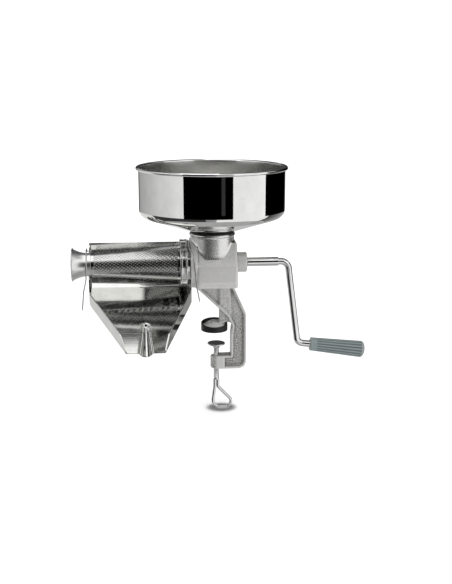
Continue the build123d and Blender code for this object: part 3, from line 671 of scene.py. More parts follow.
# ---------------------------------------------------------------- casting
def polygon_distance(x: Points, y: Points, corners: Sequence[Sequence[float]]) -> Points:
    """Distance of points from a polygon's edge, negative inside.

    For every side it is the distance to the nearest point of the side, and a point is
    inside when a line from it crosses the sides an odd number of times.
    """
    corner = np.asarray(corners, float)
    best = np.full(x.shape, 1e9)
    inside = np.zeros(x.shape, bool)
    for a, b in zip(corner, np.roll(corner, -1, axis=0)):
        edge = b - a
        t = np.clip(((x - a[0]) * edge[0] + (y - a[1]) * edge[1]) / (edge @ edge), 0, 1)
        best = np.minimum(best, np.hypot(x - a[0] - t * edge[0], y - a[1] - t * edge[1]))
        if a[1] != b[1]:
            meets = (a[1] > y) != (b[1] > y)
            inside ^= meets & (x < a[0] + (y - a[1]) * edge[0] / edge[1])
    return np.where(inside, -best, best)


def join(a: Points, b: Points, blend: float) -> Points:
    """Union of two distances with a fillet: the lower one, less h*h*blend/4 near the seam."""
    h = np.maximum(blend - np.abs(a - b), 0.0) / blend
    return np.minimum(a, b) - h * h * blend / 4


def meet(a: Points, b: Points, blend: float) -> Points:
    """Common part of two distances, with its edge rounded."""
    return -join(-a, -b, blend)


def post(off: Points, along: Points, size: tuple[float, float, float],
         blend: float) -> Points:
    """Distance from a round post between two ends, with its edges rounded.

    Args:
        off: the points' distances from the post's line.
        along: their places along the line.
        size: the post's radius and its two ends.
        blend: how wide the edges are rounded.

    Returns:
        Signed distances, negative inside.
    """
    radius, low, high = size
    return meet(off - radius, np.abs(along - (low + high) / 2) - (high - low) / 2, blend)


def surface_net(distance: Callable[[Points], Points], low: Points, high: Points,
                step: float) -> tuple[Points, Points]:
    """Surface where a distance is zero, as a net of four-cornered faces.

    Every cell of a grid that the surface crosses gets a point at the mean of the
    crossings on its edges, and every crossed grid edge joins the points of the four
    cells round it. The points then move along the distance's slope onto the surface.

    Args:
        distance: signed distance of points, negative inside.
        low: lowest corner of the grid.
        high: highest corner.
        step: size of a cell.

    Returns:
        Points and faces.
    """
    count = np.ceil((high - low) / step).astype(int) + 1
    axes = [low[i] + step * np.arange(count[i]) for i in range(3)]
    value = distance(np.stack(np.meshgrid(*axes, indexing="ij"), -1))
    cells = tuple(count - 1)
    total = np.zeros(cells + (3,))
    hits = np.zeros(cells)
    crossed = []
    for axis in range(3):
        first = value.take(range(count[axis] - 1), axis)
        second = value.take(range(1, count[axis]), axis)
        cut = (first < 0) != (second < 0)
        share = np.where(cut, first / np.where(cut, first - second, 1.0), 0.0)
        u, v = [i for i in range(3) if i != axis]
        for du in (0, 1):
            for dv in (0, 1):
                take = [slice(None)] * 3
                take[u] = slice(du, du + cells[u])
                take[v] = slice(dv, dv + cells[v])
                piece, part = cut[tuple(take)], share[tuple(take)]
                hits += piece
                total[..., axis] += np.where(piece, part, 0.0)
                total[..., u] += piece * du
                total[..., v] += piece * dv
        crossed.append((cut, first < 0))
    used = hits > 0
    number = np.full(cells, -1)
    number[used] = np.arange(int(used.sum()))
    corner = np.stack(np.nonzero(used), 1)
    points = low + step * (corner + total[used] / hits[used][:, None])
    faces = []
    for axis, (cut, inner) in enumerate(crossed):
        u, v = (axis + 1) % 3, (axis + 2) % 3
        spots = np.stack(np.nonzero(cut), 1)
        ok = (spots[:, u] > 0) & (spots[:, v] > 0)
        ok &= (spots[:, u] < cells[u]) & (spots[:, v] < cells[v])
        spots = spots[ok]
        ring = []
        for du, dv in ((-1, -1), (0, -1), (0, 0), (-1, 0)):
            there = spots.copy()
            there[:, u] += du
            there[:, v] += dv
            ring.append(number[tuple(there.T)])
        quads = np.stack(ring, 1)
        out = inner[tuple(spots.T)]
        faces.append(np.where(out[:, None], quads, quads[:, ::-1]))
    for _ in range(3):
        here = distance(points)
        slope = slope_of(distance, points)
        points = points - np.clip(here, -step, step)[:, None] * slope
    return points, np.concatenate(faces)


def slope_of(distance: Callable[[Points], Points], points: Points,
             reach: float = 0.2) -> Points:
    """Direction in which the distance grows, from differences a little way each side."""
    parts = [distance(points + reach * way) - distance(points - reach * way)
             for way in np.eye(3)]
    slope = np.stack(parts, -1)
    return slope / np.maximum(np.linalg.norm(slope, axis=-1), 1e-9)[:, None]


@dataclass
class Casting:
    """Barrel, neck, flange, boss and clamp frame in one casting, and the jaw's boot.

    The posts and bores are a radius and two ends. The outline is the clamp frame's in
    X and Z, the section is the barrel's in Y and in height over the shaft.
    """

    step: float = 0.92
    half_frame: float = 10.5
    half_web: float = 4.0
    rib: float = 3.3
    barrel: tuple[float, float] = (-29.5, 29.0)
    flange: tuple[float, float, float] = (36.0, -38.5, -29.5)
    boss: tuple[float, float, float] = (14.5, 15.4, 44.6)
    neck: tuple[float, float, float] = (32.0, 93.5, 146.5)
    lip: tuple[float, float, float] = (33.0, 143.1, 146.5)
    arm: tuple[float, float, float] = (8.7, -58.0, -39.0)
    jaw: tuple[float, float, float] = (17.4, 2.0, 8.0)
    jaw_x: float = -2.8
    neck_bores: tuple[tuple[float, float, float], ...] = (
        (28.3, 129.5, 160.0), (24.0, SHAFT_Z, 160.0))
    shaft_bores: tuple[tuple[float, float, float], ...] = (
        (26.0, -60.0, 22.0), (27.06, -60.0, -31.5), (9.08, 10.0, 60.0))
    screw_bore: tuple[float, float, float] = (4.06, -80.0, -30.0)
    jaw_web: list[tuple[float, float]] = field(default_factory=lambda: [
        (4.2, 8.0), (4.2, 70.0), (21.0, 70.0), (23.0, 12.9), (12.6, 12.9), (10.6, 8.0)])
    outline: list[tuple[float, float]] = field(default_factory=lambda: [
        (-29.5, 76.0), (-29.5, 66.3), (17.0, 22.0), (23.0, 8.0), (21.0, -6.0),
        (21.0, -38.0), (-1.5, -38.0), (-1.5, -58.0), (34.0, -58.0), (41.0, -54.8),
        (44.0, -48.0), (44.0, 25.0), (24.0, 70.3), (24.0, 76.0)])
    section: list[tuple[float, float]] = field(default_factory=lambda: [
        (36.0, 0.0), (36.0, -22.5), (33.2, -31.7), (-33.2, -31.7), (-36.0, -22.5),
        (-36.0, 0.0), (-19.0, 31.7), (19.0, 31.7)])

    def frame_part(self, x: Points, y: Points, z: Points) -> Points:
        """Clamp frame: the outline's slab less a hollow on each side, leaving a border rib."""
        flat = polygon_distance(x, z, self.outline)
        slab = meet(flat, np.abs(y) - self.half_frame, 1.6)
        boss_side = np.maximum(x - 12.0, z + 36.0)
        hollow = meet(flat + self.rib, self.half_web - np.abs(y), 2.2)
        hollow = np.maximum(hollow, -np.maximum(boss_side, -60.0 - z))
        slab = meet(slab, -hollow, 1.4)
        # A shallow groove runs in the rib down the slope and the inside of the spine
        groove = np.maximum(np.abs(flat + 1.75) - 0.5, self.half_frame - 0.55 - np.abs(y))
        inner_side = np.maximum(x - 26.0 - 0.25 * np.abs(z), -34.0 - z)
        groove = np.maximum(groove, np.maximum(inner_side, z - 68.0))
        return meet(slab, -groove, 0.5)

    def jaw_part(self, x: Points, y: Points, z: Points) -> Points:
        """Upper jaw: a disc, a low cone over it, and the web that carries them."""
        off = np.hypot(x - self.jaw_x, y)
        disc = post(off, z, self.jaw, 0.6)
        lean = (off - self.jaw[0]) * 0.53 + (z - self.jaw[2]) * 0.848
        cone = np.maximum(lean, np.abs(z - 11.2) - 3.3)
        web = meet(polygon_distance(x, z, self.jaw_web), np.abs(y) - 7.0, 2.4)
        return join(join(disc, cone, 1.0), web, 2.4)

    def distance(self, p: Points) -> Points:
        """Distance of points from the casting's surface, negative inside.

        Each form is a polygon carried along an axis or a round post; they are joined
        with fillets, and the bores are taken out with rounded edges.
        """
        x, y, z = p[..., 0], p[..., 1], p[..., 2]
        shaft = np.hypot(y, z - SHAFT_Z)
        stem = np.hypot(x - NECK_X, y)
        screw = np.hypot(x, y)
        middle = sum(self.barrel) / 2
        half = (self.barrel[1] - self.barrel[0]) / 2
        block = polygon_distance(y, z - SHAFT_Z, self.section)
        block = meet(block, np.abs(x - middle) - half, 3.2)
        block = join(block, post(shaft, x, self.flange, 1.8), 2.4)
        block = join(block, post(shaft, x, self.boss, 1.6), 2.4)
        block = join(block, post(stem, z, self.neck, 1.0), 3.0)
        block = join(block, post(stem, z, self.lip, 1.4), 1.0)
        solid = join(block, self.frame_part(x, y, z), 3.6)
        solid = join(solid, post(screw, z, self.arm, 1.8), 1.6)
        solid = join(solid, self.jaw_part(x, y, z), 3.0)
        bores = [(stem, z, size) for size in self.neck_bores]
        bores += [(shaft, x, size) for size in self.shaft_bores]
        for off, along, (radius, low, high) in [*bores, (screw, z, self.screw_bore)]:
            bore = np.maximum(off - radius, np.maximum(low - along, along - high))
            solid = meet(solid, -bore, 0.7)
        return solid

    def body(self) -> None:
        """Cast body, with what its finish reads kept as numbers on its vertices.

        Worked marks the machined faces, open is the free room in front of a point and
        sets painted shade in hollows, edge is how thin the metal is behind it, and the
        sunk-panel value marks the frame's sunk sides for painted shade and more sand pits.
        """
        points, faces = surface_net(self.distance, np.array([-40.6, -38.0, -60.2]),
                                    np.array([46.6, 38.0, 148.6]), self.step)
        slope = slope_of(self.distance, points, 0.4)
        # Free room in front of each point; where it is small, the material paints shade in the
        # hollow
        opening = self.distance(points + 3.2 * slope) / 3.2
        edge = 1.0 + self.distance(points - 1.6 * slope) / 1.6
        x, y, z = points.T
        stem = np.hypot(x - NECK_X, y)
        shaft = np.hypot(y, z - SHAFT_Z)
        ends = (x < -38.0) | (x > 44.0) | (z > 146.0)
        bores = (shaft < 27.2) & (x > -38.6) & (x < 22.2) | (stem < 28.5) & (z > 110.0)
        skin = (stem < 33.4) & (stem > 30.0) & (z > 112.0)
        worked = np.where(ends | bores, 1.0, np.where(skin, 0.96, 0.0))
        flats = (np.abs(y) > 35.2) & (np.abs(z - 90.0) < 14.0)
        worked = np.maximum(worked, np.where(flats, 0.35, 0.0))
        # Painted shade on the frame's sunk sides, deepening towards the bottom; the same value
        # adds sand pits
        sunk = np.clip((self.half_frame - 1.0 - np.abs(y)) / 1.5, 0, 1)
        panel_pits_and_shade = sunk * np.clip((66.0 - z) / 6.0, 0, 1) * np.clip((z + 57.5) / 1.0, 0, 1)
        panel_pits_and_shade *= 0.35 + 0.65 * np.clip((46.0 - z) / 40.0, 0, 1)
        make_piece("cast_body", "frame", [Shell(points, faces)], [CAST],
                   ["body_casting"],
                   {"worked": worked, "open": np.clip(opening * 1.08, 0, 1),
                    "edge": np.clip(edge * 1.6 - 0.1, 0, 1), "panel_pits_and_shade": panel_pits_and_shade}, sharp=180.0)

    def boot(self) -> None:
        """Rubber boot round the jaw's disc; its rim rises towards the back.

        A cup's section is turned about the jaw's axis, and heights above the floor
        are stretched by the rim's tilt, 9 degrees about X.
        """
        def tilt(along: Points, radius: Points, angle: Points) -> tuple[Points, Points]:
            """Raise the wall at the back and lower it in front; press ribs into its foot."""
            rise = radius * np.sin(angle) * math.tan(math.radians(9.0))
            share = np.clip((along - 4.0) / 7.5, 0.0, 1.0)
            grip = 0.35 * (0.5 + 0.5 * np.cos(angle * 40)) * np.clip((2.4 - along) / 2.0, 0, 1)
            wall = radius > 17.6
            return along + rise * share, radius - np.where(wall, grip, 0.0)

        cup = bent([(0.0, 0.0), (0.0, 19.62), (11.5, 19.62), (11.5, 17.42), (2.0, 17.42),
                    (2.0, 0.0)], [0.9, 0.8, 0.6, 0.4], 15.0)
        shell = turned(even(cup, 1.6), Axis.NECK, 240, 0, closed=False, shape=tilt)
        shell.points = shell.points + np.array([self.jaw_x - NECK_X, 0.0, 0.0])
        make_piece("jaw_boot", "frame", [shell], [RUBBER], ["jaw_pad"])

    def build(self) -> None:
        """Make the body and the boot."""
        self.body()
        self.boot()


# ---------------------------------------------------------------- screen, collar, outlet
@dataclass
class Screen:
    """Perforated cone rolled from flat sheet, with its collar and flared outlet."""

    large_x: float = -52.8
    small_x: float = -180.3
    large_r: float = 27.0
    small_r: float = 16.0
    sheet: float = 0.8
    pitch: float = 4.4
    row: float = 2.75
    hole_r: float = 1.12
    seam: float = 2.2
    ends: tuple[float, float] = (-31.6, -187.2)

    def perforated(self) -> None:
        """Screen sheet with staggered round holes, each drawn in a little at its edge.

        The cone is laid out flat as a sector. Its cells stand on a staggered grid, each
        with eight points round its edge and eight on its hole. A flat point at radius s
        and angle t from the apex goes to radius s sin(a) and angle t / sin(a) on the
        cone of half angle a. Cells that would cross the sector's edge are left out,
        and a plain seam and two plain end bands cover what they leave.
        """
        slant = math.hypot(self.large_x - self.small_x, self.large_r - self.small_r)
        sine = (self.large_r - self.small_r) / slant
        cosine = math.sqrt(1 - sine * sine)
        far, near = self.large_r / sine, self.small_r / sine
        half_angle = math.pi * sine
        i, j = np.meshgrid(np.arange(-90, 91), np.arange(0, 400), indexing="ij")
        across = (i + 0.5 * (j % 2)) * self.pitch
        out = near * math.cos(half_angle) + j * self.row
        turn = np.arange(8) * TAU / 8 + TAU / 8
        box = np.array([(1, 1), (0, 1), (-1, 1), (-1, 0), (-1, -1), (0, -1), (1, -1), (1, 0)])
        rim = np.stack([across[..., None] + box[:, 0] * self.pitch / 2,
                        out[..., None] + box[:, 1] * self.row / 2], -1)
        hole = np.stack([across[..., None] + self.hole_r * np.cos(turn),
                         out[..., None] + self.hole_r * np.sin(turn)], -1)
        s, t = np.hypot(rim[..., 0], rim[..., 1]), np.arctan2(rim[..., 0], rim[..., 1])
        fits = (s > near + 0.4).all(-1) & (s < far - 0.4).all(-1)
        fits &= (np.abs(t) * s < half_angle * s - 0.5).all(-1)
        rim, hole = rim[fits], hole[fits]
        cells = len(rim)

        def rolled(flat: Points, drop: float) -> Points:
            """Roll flat points onto the cone, a drop below its outer face."""
            s = np.hypot(flat[..., 0], flat[..., 1])
            angle = np.arctan2(flat[..., 0], flat[..., 1]) / sine + math.pi / 2
            along = self.large_x - (far - s) * cosine
            return Axis.SHAFT.put(along, s * sine - drop, angle)

        layers = [rolled(rim, 0.0), rolled(hole, 0.22), rolled(hole, self.sheet),
                  rolled(rim, self.sheet)]
        points = np.concatenate([layer.reshape(-1, 3) for layer in layers])
        k = np.arange(8)
        base = np.arange(cells)[:, None] * 8
        block = cells * 8
        faces = [np.stack([low * block + base + k, low * block + base + (k + 1) % 8,
                           high * block + base + (k + 1) % 8, high * block + base + k],
                          -1).reshape(-1, 4) for low, high in ((0, 1), (1, 2), (2, 3))]
        make_piece("screen_sheet", "filter",
                   [Shell(points, np.concatenate(faces)[:, ::-1])], [SCREEN],
                   ["filter_cone"], turn=False, sharp=60.0)
        self.bands(sine, cosine)

    def bands(self, sine: float, cosine: float) -> None:
        """Plain end bands and the welded seam along the back."""
        rate = sine / cosine
        shells = []
        large = [(self.ends[0], self.large_r), (self.large_x, self.large_r),
                 (self.large_x - 3.4, self.large_r - 3.4 * rate + 0.04)]
        small = [(self.small_x + 4.2, self.small_r + 4.2 * rate + 0.04),
                 (self.small_x, self.small_r), (self.ends[1], self.small_r)]
        for line in (large, small):
            inner = [(x, r - self.sheet - 0.08) for x, r in reversed(line)]
            profile = bent([*line, *inner], 0.15, 30.0, closed=True)
            shells.append(turned(profile, Axis.SHAFT, 128))
        rows = np.linspace(0.0, 1.0, 60)
        x = self.large_x - 1.0 + (self.small_x - self.large_x + 2.0) * rows
        r = self.large_r + (x - self.large_x) * rate
        wide = self.seam / 2
        edge = np.array([(-wide, -0.1), (-wide * 0.8, 0.14), (-0.2, 0.16), (0.0, 0.26),
                         (0.2, 0.16), (wide * 0.8, 0.14), (wide, -0.1), (wide, -0.9),
                         (-wide, -0.9)])
        angle = math.pi * 1.5 + edge[None, :, 0] / r[:, None]
        seam = Axis.SHAFT.put(np.broadcast_to(x[:, None], angle.shape),
                              r[:, None] + edge[None, :, 1], angle)
        shells.append(Shell(seam.reshape(-1, 3), grid_faces(60, len(edge), False, True)))
        shells.append(Shell(seam[[0, -1]][:, [0, 1, 5, 6, 7, 8]].reshape(-1, 3),
                            np.array([(0, 1, 2, 3), (0, 3, 4, 5), (6, 9, 8, 7),
                                      (6, 11, 10, 9)])))
        make_piece("screen_bands", "filter", shells, [SCREEN])

    def collar(self) -> None:
        """Turned collar: rounded rim, a shallow groove and a thin flat at each side."""
        outline = [(-52.8, 27.04), (-52.8, 34.6), (-50.4, 34.6), (-49.9, 34.25),
                   (-45.0, 34.25), (-44.5, 34.6), (-42.1, 34.6), (-42.1, 27.04)]
        Turning("screen_collar", "filter", "polished_alloy", TURNED, "filter_collar",
                Axis.SHAFT, outline, [0.3, 1.3, 0.3, 0.2, 0.2, 0.3, 1.3, 0.3], 176,
                step=14.0).build()

    def outlet(self) -> None:
        """Skin outlet: sleeve over the screen's end, waist, flare and a rolled rim."""
        t = np.linspace(0.0, 1.0, 26)
        flare = np.stack([-188.3 - 19.2 * t,
                          17.02 + 6.9 * (0.35 * t + 0.65 * t ** 2.2)], 1)
        bead = np.radians(np.linspace(100.0, -170.0, 22))
        roll = np.stack([-207.9 + 0.9 + 0.9 * np.cos(bead), 23.6 + 0.95 * np.sin(bead)], 1)
        outer = np.concatenate([[(-180.3, 16.1), (-180.3, 16.7), (-180.6, 17.02),
                                 (-184.4, 17.02)], flare, roll])
        inner = np.concatenate([(flare - (0.0, 0.8))[::-1], [(-180.4, 16.05)]])
        profile = np.concatenate([outer, inner])
        make_piece("flared_outlet", "filter",
                   [turned(profile, Axis.SHAFT, 144)], [PRESSED], ["skin_outlet"])

    def build(self) -> None:
        """Make the screen, its collar and its outlet."""
        self.perforated()
        self.collar()
        self.outlet()


# ---------------------------------------------------------------- juice tray
@dataclass
class Tray:
    """Bent sheet tray: back guard, two side walls, sloping floor, pouring channel."""

    left: float = -184.5
    right: float = -36.0
    back: float = 38.5
    top: float = 25.0
    depth: float = 52.7
    slope: float = math.radians(24.0)
    bend_r: float = 28.0
    front: float = -110.45
    taper: float = -12.0
    lip: tuple[float, float] = (-131.4, -76.7)
    lip_y: float = -112.0
    channel_x: float = -104.05
    channel_y: float = -58.0
    wall_high: float = 18.0
    clear_r: tuple[float, float] = (17.32, 36.3)
    sheet: float = 1.0
    corner_r: float = 2.6

    def floor(self, y: float) -> float:
        """Height of the floor's underside over the shaft at a depth."""
        return -self.depth + y * math.tan(self.slope)

    def spine(self) -> tuple[Points, Points]:
        """Section of back wall, bend and floor, and its inward directions."""
        line = bent([(self.back, self.top - 0.4), (self.back, self.floor(self.back)),
                     (self.front, self.floor(self.front))], self.bend_r, 2.4)
        line = even(line, 1.15)
        way = np.gradient(line, axis=0)
        way /= np.linalg.norm(way, axis=1)[:, None]
        return line, np.stack([way[:, 1], -way[:, 0]], 1)

    def wall_x(self, y: Points) -> tuple[Points, Points]:
        """Outer faces of the two walls at a depth; they turn in past the taper's start."""
        past = self.taper - y
        soft = 0.5 * (past + np.sqrt(past * past + 9.0)) - 0.06
        run = self.taper - self.lip_y
        return (self.left + soft * (self.lip[0] - self.left) / run,
                self.right - soft * (self.right - self.lip[1]) / run)

    def wall_height(self, line: Points, inward: Points, neck_r: float) -> Points:
        """How far the wall reaches inward from the section, up to its cut edge.

        The edge is found between the last distance still in the wall and the first
        one out of it by halving twelve times.
        """
        ease = self.front + 13.0
        cut = [(34.5, 60.0), (34.5, 25.0), (26.5, 22.0), (22.0, 10.0), (-6.0, -20.0),
               (self.taper, self.floor(self.taper) + self.wall_high),
               (ease, self.floor(ease) + self.wall_high),
               (self.lip_y - 1.0, self.floor(self.lip_y) + 2.0), (-140.0, -90.0),
               (-140.0, 60.0)]

        def outside(reach: Points) -> Points:
            """Whether the point at that reach is cut away."""
            y = line[:, 0] + inward[:, 0] * reach
            z = line[:, 1] + inward[:, 1] * reach
            return (polygon_distance(y, z, cut) < 0) | (np.hypot(y, z) < neck_r)

        reaches = np.linspace(1.2, 60.0, 590)
        gone = np.stack([outside(np.full(len(line), r)) for r in reaches], 1)
        first = np.where(gone.any(1), gone.argmax(1), len(reaches) - 1)
        high = reaches[first]
        low = np.maximum(high - 0.1, 1.0)
        for _ in range(12):
            middle = (low + high) / 2
            out = outside(middle)
            high, low = np.where(out, middle, high), np.where(out, low, middle)
        return low

    def groove(self, x: Points, y: Points) -> Points:
        """Depth of the pouring channel below the floor, widening towards the lip.

        A round groove of radius r with its centre a rise above the floor dips
        sqrt(r*r - d*d) - rise at a distance d from the channel's line; its start is
        a quarter ball, and the rim is eased by a soft maximum with zero.
        """
        t = np.clip((self.channel_y - y) / (self.channel_y - self.lip_y), -0.2, 1.05)
        radius = 4.6 + 6.4 * np.maximum(t, 0.0)
        rise = 4.5 * np.maximum(t, 0.0)
        off = np.hypot(x - self.channel_x, np.maximum(y - self.channel_y, 0.0) * 1.05)
        dip = np.sqrt(np.maximum(radius ** 2 - off ** 2, 0.0)) - rise
        dip = np.where(off < radius, dip, -(off - radius) * 1.2 - rise)
        return 0.5 * (dip + np.sqrt(dip * dip + 1.1))

    def surface(self, lift: float) -> Points:
        """Outer (lift 0) or inner skin of the tray as a grid.

        Rows follow the section from the back's top to the lip. Columns go down the
        left wall, round its corner, over the floor, and up the right wall. A wall
        point is its floor point plus its reach times the inward direction.

        Args:
            lift: distance from the outer face; up to the sheet's thickness.

        Returns:
            Points, rows by columns by 3.
        """
        line, inward = self.spine()
        r = self.corner_r - lift
        arc = np.radians(np.linspace(90.0, 0.0, 6))
        sides = []
        for side, neck_r in enumerate(self.clear_r):
            reach = self.wall_height(line, inward, neck_r)
            share = np.linspace(1.0, 0.0, 15)[:-1]
            heights = self.corner_r + (reach - self.corner_r)[:, None] * share
            heights = np.maximum(heights, 0.0)
            y = line[:, :1] + inward[:, :1] * heights
            z = line[:, 1:] + inward[:, 1:] * heights
            hem = 0.75 * np.clip((heights - reach[:, None] + 3.2) / 0.5, 0.0, 1.0) * (
                lift / self.sheet)
            x = self.wall_x(y)[side] + (1 - 2 * side) * (lift + hem)
            high = self.corner_r - r * np.sin(np.pi / 2 - arc)
            high = np.minimum(high, reach[:, None])
            near_y = line[:, :1] + inward[:, :1] * high
            near_z = line[:, 1:] + inward[:, 1:] * high
            in_x = self.corner_r - r * np.cos(np.pi / 2 - arc)
            near_x = self.wall_x(near_y)[side] + (1 - 2 * side) * in_x
            block = np.concatenate([np.stack([x, y, z], -1),
                                    np.stack([near_x, near_y, near_z], -1)], 1)
            sides.append(block)
        foot_y, foot_z = line[:, :1], line[:, 1:]
        first = self.wall_x(foot_y)[0] + self.corner_r
        last = self.wall_x(foot_y)[1] - self.corner_r
        reach_l, reach_r = self.channel_x - 14.5, self.channel_x + 14.5
        a = np.linspace(0.0, 1.0, 14)[1:-1]
        b = np.linspace(0.0, 1.0, 50)
        x = np.concatenate([first + (reach_l - first) * a, reach_l + (reach_r - reach_l)
                            * np.broadcast_to(b, (len(line), 50)),
                            reach_r + (last - reach_r) * a], 1)
        y = np.broadcast_to(foot_y, x.shape)
        z = np.broadcast_to(foot_z, x.shape)
        down = np.where(y < -40.0, self.groove(x, y), 0.0) - lift
        y = y - inward[:, :1] * down
        z = z - inward[:, 1:] * down
        return np.concatenate([sides[0], np.stack([x, y, z], -1), sides[1][:, ::-1]], 1)

    def build(self) -> None:
        """Close the two skins round their edges into one sheet."""
        outer = self.surface(0.0)
        inner = self.surface(self.sheet)
        middle = (outer + inner) / 2
        rows, columns = outer.shape[:2]
        grow_side = middle[:, :1] + 0.35 * _unit(outer[:, :1] - outer[:, 1:2])
        grow_far = middle[:, -1:] + 0.35 * _unit(outer[:, -1:] - outer[:, -2:-1])
        ring = np.concatenate([outer, grow_far, inner[:, ::-1], grow_side], 1)
        first = _edge_row(outer[0], inner[0], outer[0] - outer[1], 0.35)[None]
        final = _edge_row(outer[-1], inner[-1], outer[-1] - outer[-2], 0.35)[None]
        ring = np.concatenate([first, ring, final])
        ring[..., 2] += SHAFT_Z
        shell = Shell(ring.reshape(-1, 3), grid_faces(rows + 2, ring.shape[1], False, True))
        make_piece("juice_tray_sheet", "filter", [shell], [SHEET],
                   ["juice_tray"], sharp=50.0)


def _unit(v: Points) -> Points:
    """Vectors of length 1."""
    return v / np.maximum(np.linalg.norm(v, axis=-1), 1e-9)[..., None]


def _edge_row(outer: Points, inner: Points, way: Points, grow: float) -> Points:
    """Row that closes a sheet's end: the two skins meet on a line just past the edge."""
    middle = (outer + inner) / 2 + grow * _unit(way)
    return np.concatenate([middle, middle[-1:], middle[::-1], middle[:1]])


# ---------------------------------------------------------------- wire clips
@dataclass
class WireClip:
    """A bent wire with a hooked end in the tray's wall, an arch and a finger tail."""

    name: str
    node: str
    route: list[tuple[float, float, float]]
    bends: list[float]
    wire_r: float = 0.9

    def build(self) -> None:
        """Round wire along the route with rounded bends."""
        corners = [(x, r * math.cos(math.radians(a)), SHAFT_Z + r * math.sin(math.radians(a)))
                   for x, r, a in self.route]
        line = even(bent(corners, self.bends, 9.0), 2.2)
        make_piece(self.name, self.node, [drawn(line, self.wire_r, 16)], [WIRE],
                   [self.node])


def clips() -> list[WireClip]:
    """The clip at the outlet and the clip at the collar; a route is X, radius and angle."""
    arch = 17.02 + 0.3 + 0.9
    plane = -184.5 - 1.1 - 0.9
    nozzle = [(-181.0, 31.02, 28.0), (plane - 3.0, 31.02, 28.0), (plane, arch + 5.5, 62.0),
              (plane, arch + 2.4, 112.0), (plane, arch + 2.2, 165.0),
              (plane - 0.6, arch + 7.5, 222.0), (plane - 4.5, arch + 24.0, 236.0),
              (plane - 5.5, arch + 34.0, 242.0), (plane - 7.0, arch + 48.0, 248.0)]
    side = 36.0 + 0.3 + 0.9
    gap = -38.5 - 1.8
    collar = [(-33.5, 39.4, 27.0), (gap, 39.4, 27.0), (gap, 35.2, 60.0), (gap, 33.4, 95.0),
              (gap, side, 133.0), (-34.3, side + 3.4, 158.0), (-31.7, side + 3.6, 194.0),
              (-29.9, side + 14.5, 215.0), (-26.5, side + 27.0, 228.0)]
    return [WireClip("outlet_wire_clip", "nozzle_clip", nozzle,
                     [1.6, 3.0, 8.0, 9.0, 9.0, 8.0, 6.0]),
            WireClip("collar_wire_clip", "collar_clip", collar,
                     [1.6, 6.0, 12.0, 12.0, 12.0, 12.0, 8.0])]


# ---------------------------------------------------------------- auger and bearings
@dataclass
class Auger:
    """Moulded auger with a tapering helical flight, its spindle, pin and bearings."""

    end: float = -172.3
    pitch: float = 28.0
    turn_start: float = 13.2
    tip_r: float = 24.9
    taper_x: float = -52.8
    taper: float = 11.0 / 127.5

    def core(self) -> Shell:
        """Turned core: hub, step, tapering stem and blunt tip."""
        outline = [(21.0, 6.02), (21.0, 12.5), (8.0, 12.5), (4.0, 9.0), (-172.3, 7.0),
                   (-176.3, 4.2), (-176.3, 0.0), (-176.0, 0.0), (-25.0, 0.0), (-25.0, 6.02)]
        line = bent(outline, [0.9, 1.6, 1.6, 1.0, 1.2, 0.0, 0.0, 0.3], 12.0)
        return turned(even(line, 6.0), Axis.SHAFT, 72, 0)

    def flight(self) -> Shell:
        """Helical blade as a loop of section points carried round the core.

        At turn angle t the blade stands at start - pitch * t / 2 pi along the shaft.
        Its section goes out from inside the core to the tip radius with a fillet at
        the root, and the tip radius follows the screen's taper.
        """
        run = self.turn_start - self.end
        t = np.linspace(0.0, 1.0, int(run / self.pitch * 72))
        x = self.turn_start - run * t
        angle = -TAU * run * t / self.pitch
        full = self.tip_r - np.maximum(self.taper_x - x, 0.0) * self.taper
        grow = (np.clip(t * 20.0, 0.0, 1.0) ** 0.5
                * np.clip((1.0 - t) * 26.0, 0.02, 1.0) ** 0.5)
        core = 9.0 - (x < 4.0) * (4.0 - x) * (2.0 / 176.3)
        tip = core + (full - core) * grow
        share = np.array([-0.25, 0.0, 0.08, 0.22, 0.6, 0.93, 1.0, 1.0, 0.93, 0.6, 0.22, 0.08,
                          0.0, -0.25])
        half = np.array([3.6, 3.4, 2.7, 2.2, 1.7, 1.35, 0.7, -0.7, -1.35, -1.7, -2.2, -2.7,
                         -3.4, -3.6])
        radius = core[:, None] + (tip - core)[:, None] * share
        along = x[:, None] + half
        points = Axis.SHAFT.put(along, radius, np.broadcast_to(angle[:, None], radius.shape))
        ends = np.stack([points[0].mean(0), points[-1].mean(0)])
        ends = np.repeat(ends[:, None], points.shape[1], 1)
        points = np.concatenate([ends[:1], points, ends[1:]])
        return Shell(points.reshape(-1, 3),
                     grid_faces(len(points), points.shape[1], False, True))

    def bearings(self) -> list[Turning]:
        """Spindle, cross pin, thrust washer, seal and bush."""
        spindle = [(-25.0, 0.0), (-25.0, 6.0), (44.9, 6.0), (44.9, 5.0), (65.9, 5.0),
                   (65.9, 0.0)]
        pin = [(-11.0, 0.0), (-11.0, 2.0), (11.0, 2.0), (11.0, 0.0)]
        return [
            Turning("spindle_bar", "crank", "bare_steel", BARE, "auger_spindle", Axis.SHAFT,
                    spindle, [0.8, 0.4, 0.1, 0.8], 64, closed=False, spacing=12.0),
            Turning("drive_pin_bar", "crank", "bare_steel", BARE, "drive_pin", Axis.PIN,
                    pin, 0.4, 32, closed=False),
            Turning("thrust_ring", "frame", "white_plastic", NYLON, "thrust_washer",
                    Axis.SHAFT, ring(21.2, 22.0, 6.3, 12.5), 0.25, 72, step=22.0),
            Turning("shaft_ring", "frame", "black_rubber", RUBBER, "shaft_seal",
                    Axis.SHAFT, ring(22.0, 25.0, 6.06, 9.06), 0.3, 72, step=22.0),
            Turning("boss_bush", "frame", "bronze", BRONZE, "rear_bush", Axis.SHAFT,
                    ring(25.0, 44.6, 6.06, 9.06), [0.3, 0.7, 0.3, 0.3], 80)]

    def build(self) -> None:
        """Make the auger and its bearings."""
        make_piece("auger_moulding", "crank", [self.core(), self.flight()],
                   [NYLON], ["auger"])
        for piece in self.bearings():
            piece.build()


